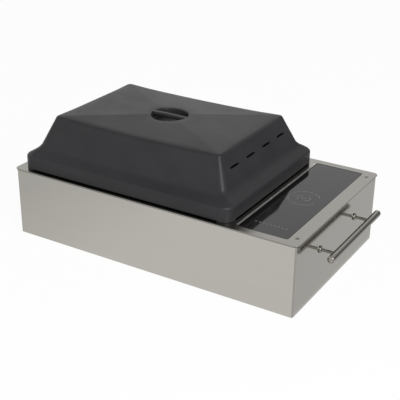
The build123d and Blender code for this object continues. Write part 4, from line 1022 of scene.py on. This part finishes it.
class GRILL_OT_plate(bpy.types.Operator):
    """Models the top plate with its raised edge, its two screws and its gaskets"""
    bl_idname = "grill.plate"
    bl_label = "Top plate"

    def execute(self, context):
        colours = context.scene.grill_colours
        sizes = context.scene.grill_fasteners
        steel = brushed_stainless("brushed_stainless_plate", colours.plate_steel, (0.12, 0.0012, 0.01), 0.19)
        refined("top_plate_sheet", "top_plate", steel, "casing", "plate_stainless")
        silicone = finish("black_silicone_gasket", colours.gasket_black, 0.0, 0.6, 0.3,
                          (0.001, 0.001, 0.001), bump=0.2)
        dress(silicone, "plate_gasket", "glass_gasket", "lead_grommet")
        self.gasket(context.scene.grill_edges, silicone)
        self.seal(context.scene.grill_edges, silicone)
        self.rail(context.scene.grill_edges)
        low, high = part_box("plate_screws")
        depth = high.z - low.z
        head = sizes.sunk_head
        shank = sizes.sunk_shank
        rings = [(shank - 0.4 * MM, 0.0), (shank, 0.4 * MM), (shank, depth - sizes.sunk_depth),
                 (head - sizes.sunk_depth, depth - sizes.sunk_depth), (head - 0.1 * MM, depth - 0.15 * MM),
                 (head - 0.25 * MM, depth), (sizes.drive + 0.2 * MM, depth, 6),
                 (sizes.drive, depth - 0.2 * MM, 6), (sizes.drive, depth - sizes.drive_depth, 6)]
        plated = zinc_plated(colours.screw_steel)
        screws = repeated("plate_fixing_screws", turned("screw", rings), 2,
                          (0.0, high.y - low.y - 2 * head, 0.0), ((low.x + high.x) / 2, 0.0, low.z), plated)
        settle(soften(screws, 35), plated, "casing", "screw_steel", "plate_screws")
        return {"FINISHED"}

    def gasket(self, sizes, silicone):
        """The thin lip of the gasket, which shows as a dark line under the plate's edge: partly the real
        black gasket, partly a painted shadow of the plate's overhang.
        """
        low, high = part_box("plate_gasket")
        low.z = high.z - sizes.lip_height
        lip = rounded_frame("gasket_lip", low, high, sizes.lip, sizes.lip + sizes.lap, sizes.corner)
        settle(soften(lip), silicone, "casing", "black_gasket")

    def seal(self, sizes, silicone):
        """The thin black seal between the glass and the plate: partly a real seal, partly a painted shadow in
        the gap round the glass.
        """
        low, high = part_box("glass_panel")
        low.z = high.z - sizes.seal_depth
        high.z += sizes.seal_rise
        seal = rounded_frame("glass_seal", low, high, sizes.seal_gap, sizes.seal, sizes.seal_corner)
        settle(soften(seal), silicone, "casing", "black_gasket")

    def rail(self, sizes):
        """The plate's raised edge beside the glass: a rounded, polished bead, its steel coloured much lighter
        than the plate's own as a painted highlight.
        """
        polished = finish("polished_stainless_rail_and_highlight", bpy.context.scene.grill_colours.rail_steel_and_highlight, 1.0, 0.45,
                          grain_size=(0.002, 0.02, 0.002))
        glass_low, glass_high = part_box("glass_panel")
        x = glass_low.x - sizes.rail_gap - sizes.rail / 2
        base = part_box("top_plate")[1].z - sizes.rail_height
        # How far the bead goes down into the plate
        sunk = 0.3 * MM
        steps = 12
        outline = [(x - sizes.rail / 2, base - sunk)]
        for step in range(steps + 1):
            turn = pi * step / steps
            outline.append((x - sizes.rail / 2 * cos(turn), base + sizes.rail_height * sin(turn)))
        outline.append((x + sizes.rail / 2, base - sunk))
        reach = (glass_high.y - glass_low.y) / 2 - sizes.rail_end
        bead = prism("rail_bead", outline, -reach, reach)
        bead.data.transform(Matrix.Rotation(pi / 2, 4, "X"))
        settle(soften(bead, 50), polished, "casing", "plate_stainless")


class GRILL_OT_handle(bpy.types.Operator):
    """Models the turned handle bar, its two posts and their collars"""
    bl_idname = "grill.handle"
    bl_label = "Handle"

    def execute(self, context):
        sizes = context.scene.grill_handle
        steel = brushed_stainless("turned_stainless_handle", context.scene.grill_colours.handle_steel,
                                  (0.004, 0.0012, 0.004), 0.13)
        low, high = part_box("handle_bar")
        radius = (high.z - low.z) / 2
        end = high.y - low.y
        profile = eased([(0.3 * radius, 0.0), (radius, 0.0), (radius, end), (0.3 * radius, end)],
                        sizes.bar_round, 6)
        bar = turned("handle_grip_bar", profile, steps=64)
        place = ((low.x + high.x) / 2, low.y, (low.z + high.z) / 2)
        bar.data.transform(Matrix.Translation(place) @ Matrix.Rotation(-pi / 2, 4, "X"))
        settle(soften(bar, 50), steel, "casing", "handle_stainless", "handle_bar")

        # The posts end inside the bar, 0.8 of its radius before its middle line
        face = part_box("handle_posts")[0].x
        reach = place[0] - radius * 0.8 - face
        post = turned("post", [(sizes.post, 0.0), (sizes.post, reach)])
        self.on_face(post, "handle_bar_posts", "handle_posts", sizes.post, place[2], steel)
        low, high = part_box("handle_collars")
        outer = (high.z - low.z) / 2
        thick = high.x - low.x
        section = [(sizes.post, thick / 2), (sizes.post, 0.0), (outer, 0.0), (outer, thick),
                   (sizes.post, thick), (sizes.post, thick / 2)]
        collar = turned("collar", eased(section, sizes.collar_round)[:-1], closed=True)
        self.on_face(collar, "handle_post_collars", "handle_collars", outer, place[2], steel)
        return {"FINISHED"}

    def on_face(self, piece, name, node, radius, height, steel):
        """Turns a piece outwards from the end face and repeats it along the handle."""
        sizes = bpy.context.scene.grill_handle
        low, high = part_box(node)
        piece.data.transform(Matrix.Rotation(pi / 2, 4, "Y"))
        step = (high.y - low.y - 2 * radius) / (sizes.posts - 1)
        copies = repeated(name, piece, sizes.posts, (0.0, step, 0.0),
                          (low.x, (low.y + high.y) / 2, height), steel)
        settle(soften(copies, 35), steel, "casing", "handle_stainless", node)


# Glass and its marks


def arc_band(radius, width, start, end, steps):
    """The outline of a band along an arc, about the origin."""
    points = []
    for side, order in ((1, range(steps + 1)), (-1, range(steps, -1, -1))):
        for step in order:
            turn = start + (end - start) * step / steps
            reach = radius + side * width / 2
            points.append((reach * cos(turn), reach * sin(turn)))
    return points


def join_marks(name, marks, ink):
    """Joins flat marks into one piece on the casing."""
    work = bmesh.new()
    for mark in marks:
        work.from_mesh(mark.data)
        bpy.data.objects.remove(mark)
    settle(baked(name, work), ink, "casing", "black_glass")


class GRILL_OT_panel(bpy.types.Operator):
    """Finishes the glass and prints the touch ring and level dots on it"""
    bl_idname = "grill.panel"
    bl_label = "Touch panel"

    def execute(self, context):
        colours = context.scene.grill_colours
        sizes = context.scene.grill_panel
        glass = black_ceramic_glass(colours.glass_black)
        refined("glass_sheet", "glass_panel", glass, "casing", "black_glass")
        ink = finish("screen_printed_ink", colours.print_grey, 0.0, 0.35, 0.5, (0.002, 0.002, 0.002))
        low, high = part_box("glass_panel")
        x, y = (low.x + high.x) / 2, (low.y + high.y) / 2
        base = high.z
        top = base + sizes.film
        # Bands as radius, first and last angle in degrees, and number of steps
        figure = 0.42 * sizes.ring
        marks = []
        for radius, start, end, steps in ((sizes.ring, 28, 332, 48), (figure, 120, 240, 16),
                                          (figure, -60, 60, 16)):
            band = arc_band(radius, sizes.line, radians(start), radians(end), steps)
            marks.append(prism("mark", [(x + px, y + py) for px, py in band], base, top))
        half = 0.2 * sizes.ring
        wide = sizes.line / 2
        marks.append(prism("mark", [(x - half, y - wide), (x + half, y - wide), (x + half, y + wide),
                                    (x - half, y + wide)], base, top))
        join_marks("touch_ring_marks", marks, ink)
        radius = sizes.dot_radius
        dot = turned("dot", [(radius, 0.0), (0.9 * radius, sizes.film)], steps=24)
        dots = repeated("level_dots", dot, sizes.dots, (sizes.dot_pitch, 0.0, 0.0),
                        (x, low.y + sizes.dot_place, base), ink)
        settle(dots, ink, "casing", "black_glass")
        return {"FINISHED"}


# Inside


class GRILL_OT_cooking(bpy.types.Operator):
    """Models the well, the grate, the drip tray and the heating element"""
    bl_idname = "grill.cooking"
    bl_label = "Cooking parts"

    def execute(self, context):
        colours = context.scene.grill_colours
        sizes = context.scene.grill_grate
        drawn = finish("drawn_stainless", linear("#a9a7a2"), 1.0, 0.32, grain_size=(0.05, 0.05, 0.002),
                       tone_swing=0.05)
        refined("drawn_well", "grill_well", drawn, "casing", "drawn_stainless")
        refined("drip_pan", "drip_tray", drawn, "drip_tray", "drawn_stainless")
        iron = finish("coated_cast_iron", colours.cast_black, 0.0, 0.55, 0.4, (0.0015, 0.0015, 0.0015),
                      bump=0.5, bump_height=0.0002)
        self.grate(sizes, iron)
        sheath = finish("oxidised_alloy_sheath", colours.sheath_grey, 1.0, 0.5,
                        grain_size=(0.01, 0.01, 0.004), tone_swing=0.25)
        self.element(sizes, sheath)
        dress(sheath, "element_straps")
        return {"FINISHED"}

    def grate(self, sizes, iron):
        """The cast grate with a finger notch in each end of its rim."""
        low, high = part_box("grate")
        grate = grown("cast_grate", grate_tree(), {
            "Length": high.x - low.x, "Width": high.y - low.y, "Height": high.z - low.z, "Rim": sizes.rim,
            "Corner": sizes.corner, "Bars": sizes.bars, "Bar Width": sizes.bar, "Bar Lift": sizes.bar_lift,
            "Bar Step": (sizes.pitch, 0.0, 0.0), "Tie Width": sizes.tie, "Tie Height": sizes.tie_height,
            "Tie Lift": sizes.tie_lift, "Tie Step": (0.0, sizes.tie_spacing, 0.0), "Edge Round": 0.8 * MM,
            "Material": iron})
        grate.data.transform(Matrix.Translation(base_middle(low, high)))
        half = sizes.notch_length / 2
        cutters = []
        for x in (low.x, high.x):
            reach = sizes.notch_depth
            outline = [(x - reach, -half), (x + reach, -half), (x + reach, half), (x - reach, half)]
            cutters.append(prism("notch", outline, high.z - reach, high.z + reach))
        cut(grate, cutters)
        settle(soften(grate, 35), iron, "grate", "cast_grate", "grate")

    def element(self, sizes, sheath):
        """One rod in six runs: each half goes out along the middle and comes back beside it."""
        low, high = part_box("heating_element")
        start = high.x
        far = low.x + sizes.rod
        left = far + sizes.rod_step
        right = start - sizes.rod_gap
        outer = high.y - sizes.rod
        z = (low.z + high.z) / 2
        runs = [outer / 5, 3 * outer / 5, outer]
        half = [(start, runs[0]), (left, runs[0]), (left, runs[1]), (right, runs[1]), (right, runs[2]),
                (far, runs[2])]
        points = [(x, -y, z) for x, y in half] + [(x, y, z) for x, y in reversed(half)]
        mesh = bpy.data.meshes.new("element_route")
        mesh.from_pydata(points, [(i, i + 1) for i in range(len(points) - 1)], [])
        rod = grown("element_rod", rod_tree(), {
            "Rod Radius": sizes.rod, "Bend Radius": sizes.rod_bend, "Material": sheath}, mesh)
        settle(soften(rod, 40), sheath, "element", "element_sheath", "heating_element")


class GRILL_OT_electrics(bpy.types.Operator):
    """Finishes the boards, leads, socket, inlet and every fastener"""
    bl_idname = "grill.electrics"
    bl_label = "Electrics and fasteners"

    def execute(self, context):
        steel = zinc_plated(context.scene.grill_colours.screw_steel)
        dress(steel, "plate_nuts", "base_nuts", "foot_nuts", "handle_screws", "well_studs", "well_nuts",
              "socket_screws", "shield_rivets", "control_screws", "touch_board_screws", "power_board_screws",
              "inlet_screws", "earth_stud", "earth_nut", "board_standoffs", "lead_clips")
        black = finish("black_phenolic", linear("#1c1c1d"), 0.0, 0.5, 0.4, (0.001, 0.001, 0.001), bump=0.2)
        dress(black, "element_plug", "control_tray", "power_inlet", "power_relays", "filter_capacitor",
              "mains_lead", "thermal_limiter")
        dress(finish("steatite_ceramic", linear("#d8d4c8"), 0.0, 0.6, 0.4, (0.003, 0.003, 0.003)),
              "element_socket")
        dress(finish("plated_brass", linear("#c9b878"), 1.0, 0.3),
              "element_pins", "socket_tabs", "inlet_pins", "touch_electrodes")
        dress(finish("pressed_mineral_fibre", linear("#cfc9b8"), 0.0, 0.9, 0.2, (0.002, 0.002, 0.006),
                     tone_swing=0.15, bump=0.6, bump_height=0.0003), "insulation_board")
        dress(finish("solder_masked_laminate", linear("#1f5a33"), 0.0, 0.4, 0.5, (0.004, 0.004, 0.004)),
              "touch_board", "power_board")
        dress(finish("clear_red_resin", linear("#b02a20"), 0.0, 0.2, 0.5), "indicator_lights")
        dress(finish("varnished_laminations", linear("#55555a"), 0.6, 0.4, 0.5, (0.02, 0.02, 0.0006),
                     tone_swing=0.2), "transformer")
        dress(finish("grey_polyamide", linear("#b9b9b2"), 0.0, 0.5, 0.4), "mains_terminals")
        dress(finish("silicone_sleeve", linear("#a8a49c"), 0.0, 0.6, 0.3, (0.001, 0.001, 0.004)),
              "element_leads", "signal_lead")
        return {"FINISHED"}


# Stage

# Level direction towards the far right of the photograph's scene
FAR_SIDE = (0.6, 0.8, 0.0)


def toward_far_side(tree, vector):
    """How far a vector reaches towards the far side."""
    return add_node(tree, "ShaderNodeVectorMath", {"operation": "DOT_PRODUCT"}, {
        0: vector, 1: FAR_SIDE}).outputs["Value"]


def seen_directly(tree, rays):
    """One for rays from the camera or through glass, otherwise zero."""
    return add_node(tree, "ShaderNodeMath", {"operation": "MAXIMUM"}, {
        0: rays["Is Camera Ray"], 1: rays["Is Transmission Ray"]}).outputs["Value"]


class GRILL_OT_stage(bpy.types.Operator):
    """Sets up the camera, the white floor, the soft lamps and the white surroundings"""
    bl_idname = "grill.stage"
    bl_label = "Stage"

    def execute(self, context):
        scene = context.scene
        view = scene.grill_camera
        data = bpy.data.cameras.new("photo_camera")
        data.sensor_fit = "HORIZONTAL"
        data.sensor_width = 36.0
        data.lens = view.lens
        data.clip_end = 50.0
        camera = linked("photo_camera", data)
        turn = (Matrix.Rotation(view.azimuth, 4, "Z") @ Matrix.Rotation(pi / 2 - view.elevation, 4, "X")
                @ Matrix.Rotation(view.roll, 4, "Z"))
        camera.matrix_world = Matrix.Translation(view.place) @ turn
        scene.camera = camera
        scene.view_settings.view_transform = "Standard"
        self.floor(scene)
        self.lamps()
        self.world(scene)
        return {"FINISHED"}

    def floor(self, scene):
        """A wide white floor. Reflections see it fade with distance, as if lit from the near side."""
        size = 30.0
        mesh = bpy.data.meshes.new("studio_floor")
        mesh.from_pydata([(-size, -size, 0), (size, -size, 0), (size, size, 0), (-size, size, 0)], [],
                         [(0, 1, 2, 3)])
        floor = linked("studio_floor", mesh)
        material, tree = new_material("white_studio_floor")
        rays = add_node(tree, "ShaderNodeLightPath").outputs
        place = add_node(tree, "ShaderNodeTexCoord").outputs["Object"]
        along = add_node(tree, "ShaderNodeSeparateXYZ", None, {"Vector": place}).outputs["X"]
        # How bright the mirrored floor is, by metres towards the far side and by metres along the casing.
        # Reflections see a painted glow in place of the lit floor, with painted shade towards the far side,
        # towards the left and past the casing's right end.
        fade = mapped(tree, toward_far_side(tree, place), (0.5, 1.1, 1.0, 0.35))
        left = mapped(tree, along, (-0.42, -0.1, 0.8, 1.0))
        right = mapped(tree, along, (0.252, 0.262, 0.865, 0.58))
        strength = product(tree, product(tree, fade, left), right)
        white = add_node(tree, "ShaderNodeBsdfDiffuse", None, {"Color": scene.grill_colours.floor_white})
        mirrored = add_node(tree, "ShaderNodeEmission", None, {"Strength": strength})
        glow = add_node(tree, "ShaderNodeEmission", None, {"Strength": 1.0})
        lit = add_node(tree, "ShaderNodeMixShader", None, {
            "Fac": rays["Is Glossy Ray"], 1: white.outputs["BSDF"], 2: mirrored.outputs["Emission"]})
        whole = add_node(tree, "ShaderNodeMixShader", None, {
            "Fac": product(tree, seen_directly(tree, rays), 0.95), 1: lit.outputs["Shader"],
            2: glow.outputs["Emission"]})
        add_node(tree, "ShaderNodeOutputMaterial", None, {"Surface": whole.outputs["Shader"]})
        mesh.materials.append(material)

    def lamps(self):
        """Two wide lamps that nothing mirrors, and a strip that does show in the metal and the glass."""
        for name, place, width, height, power, mirrored in (
                ("key_softbox", (-1.0, -1.7, 1.4), 1.6, 1.6, 7.0, False),
                ("fill_softbox", (2.0, -0.8, 0.8), 1.6, 1.6, 11.0, False),
                ("edge_strip", (1.76, -1.14, 1.4), 0.6, 1.3, 28.0, True)):
            data = bpy.data.lights.new(name, "AREA")
            data.shape = "RECTANGLE"
            data.size = width
            data.size_y = height
            data.energy = power
            lamp = linked(name, data)
            lamp.visible_glossy = mirrored
            lamp.visible_camera = False
            # Every lamp points at the middle of the grill, 0.1 m above the floor
            aim = Vector((0, 0, 0.1)) - Vector(place)
            lamp.matrix_world = Matrix.Translation(place) @ aim.to_track_quat("-Z", "Y").to_matrix().to_4x4()

    def world(self, scene):
        """White all round for the camera; reflections see a darker corner low on the far right."""
        world = bpy.data.worlds.new("white_surroundings")
        world.use_nodes = True
        tree = world.node_tree
        tree.nodes.clear()
        rays = add_node(tree, "ShaderNodeLightPath").outputs
        toward = add_node(tree, "ShaderNodeTexCoord").outputs["Generated"]
        rise = add_node(tree, "ShaderNodeSeparateXYZ", None, {"Vector": toward}).outputs["Z"]
        # The darker corner lies towards the far side and low down
        side = mapped(tree, toward_far_side(tree, toward), (0.48, 0.95, 0.0, 1.0), True)
        low = mapped(tree, rise, (0.1, 1.0, 1.0, 0.0), True)
        mirrored = mapped(tree, product(tree, side, low), (0.0, 1.0, 0.9, 0.15))
        lit = add_node(tree, "ShaderNodeMix", {"data_type": "FLOAT"}, {
            0: rays["Is Glossy Ray"], 2: 0.6, 3: mirrored}).outputs[0]
        overhead = mapped(tree, rise, (0.5, 0.95, 1.0, 0.4), True)
        strength = add_node(tree, "ShaderNodeMix", {"data_type": "FLOAT"}, {
            0: seen_directly(tree, rays), 2: product(tree, lit, overhead), 3: 1.0}).outputs[0]
        background = add_node(tree, "ShaderNodeBackground", None, {
            "Color": (1.0, 1.0, 1.0, 1.0), "Strength": strength})
        add_node(tree, "ShaderNodeOutputWorld", None, {"Surface": background.outputs["Background"]})
        scene.world = world


class GRILL_PT_panel(bpy.types.Panel):
    """Lists the grill's pieces in the sidebar"""
    bl_idname = "GRILL_PT_panel"
    bl_label = "Electric Grill"
    bl_space_type = "VIEW_3D"
    bl_region_type = "UI"
    bl_category = "Grill"

    def draw(self, context):
        for operator in OPERATORS:
            self.layout.operator(operator.bl_idname)


OPERATORS = (GRILL_OT_stage, GRILL_OT_lid, GRILL_OT_casing, GRILL_OT_plate, GRILL_OT_handle,
             GRILL_OT_panel, GRILL_OT_cooking, GRILL_OT_electrics)
GROUPS = {"grill_lid": LidSizes, "grill_handle": HandleSizes, "grill_fasteners": FastenerSizes,
          "grill_edges": EdgeSizes, "grill_panel": PanelSizes, "grill_grate": GrateSizes,
          "grill_colours": FinishColours, "grill_camera": CameraSizes}


def register():
    for group in GROUPS.values():
        bpy.utils.register_class(group)
    for name, group in GROUPS.items():
        setattr(bpy.types.Scene, name, bpy.props.PointerProperty(type=group))
    for operator in OPERATORS:
        bpy.utils.register_class(operator)
    bpy.utils.register_class(GRILL_PT_panel)


def unregister():
    bpy.utils.unregister_class(GRILL_PT_panel)
    for operator in reversed(OPERATORS):
        bpy.utils.unregister_class(operator)
    for name in GROUPS:
        delattr(bpy.types.Scene, name)
    for group in GROUPS.values():
        bpy.utils.unregister_class(group)


def main():
    register()
    bpy.ops.grill.stage()
    bpy.ops.grill.lid()
    bpy.ops.grill.casing()
    bpy.ops.grill.plate()
    bpy.ops.grill.handle()
    bpy.ops.grill.panel()
    bpy.ops.grill.cooking()
    bpy.ops.grill.electrics()


if __name__ == "__main__":
    main()
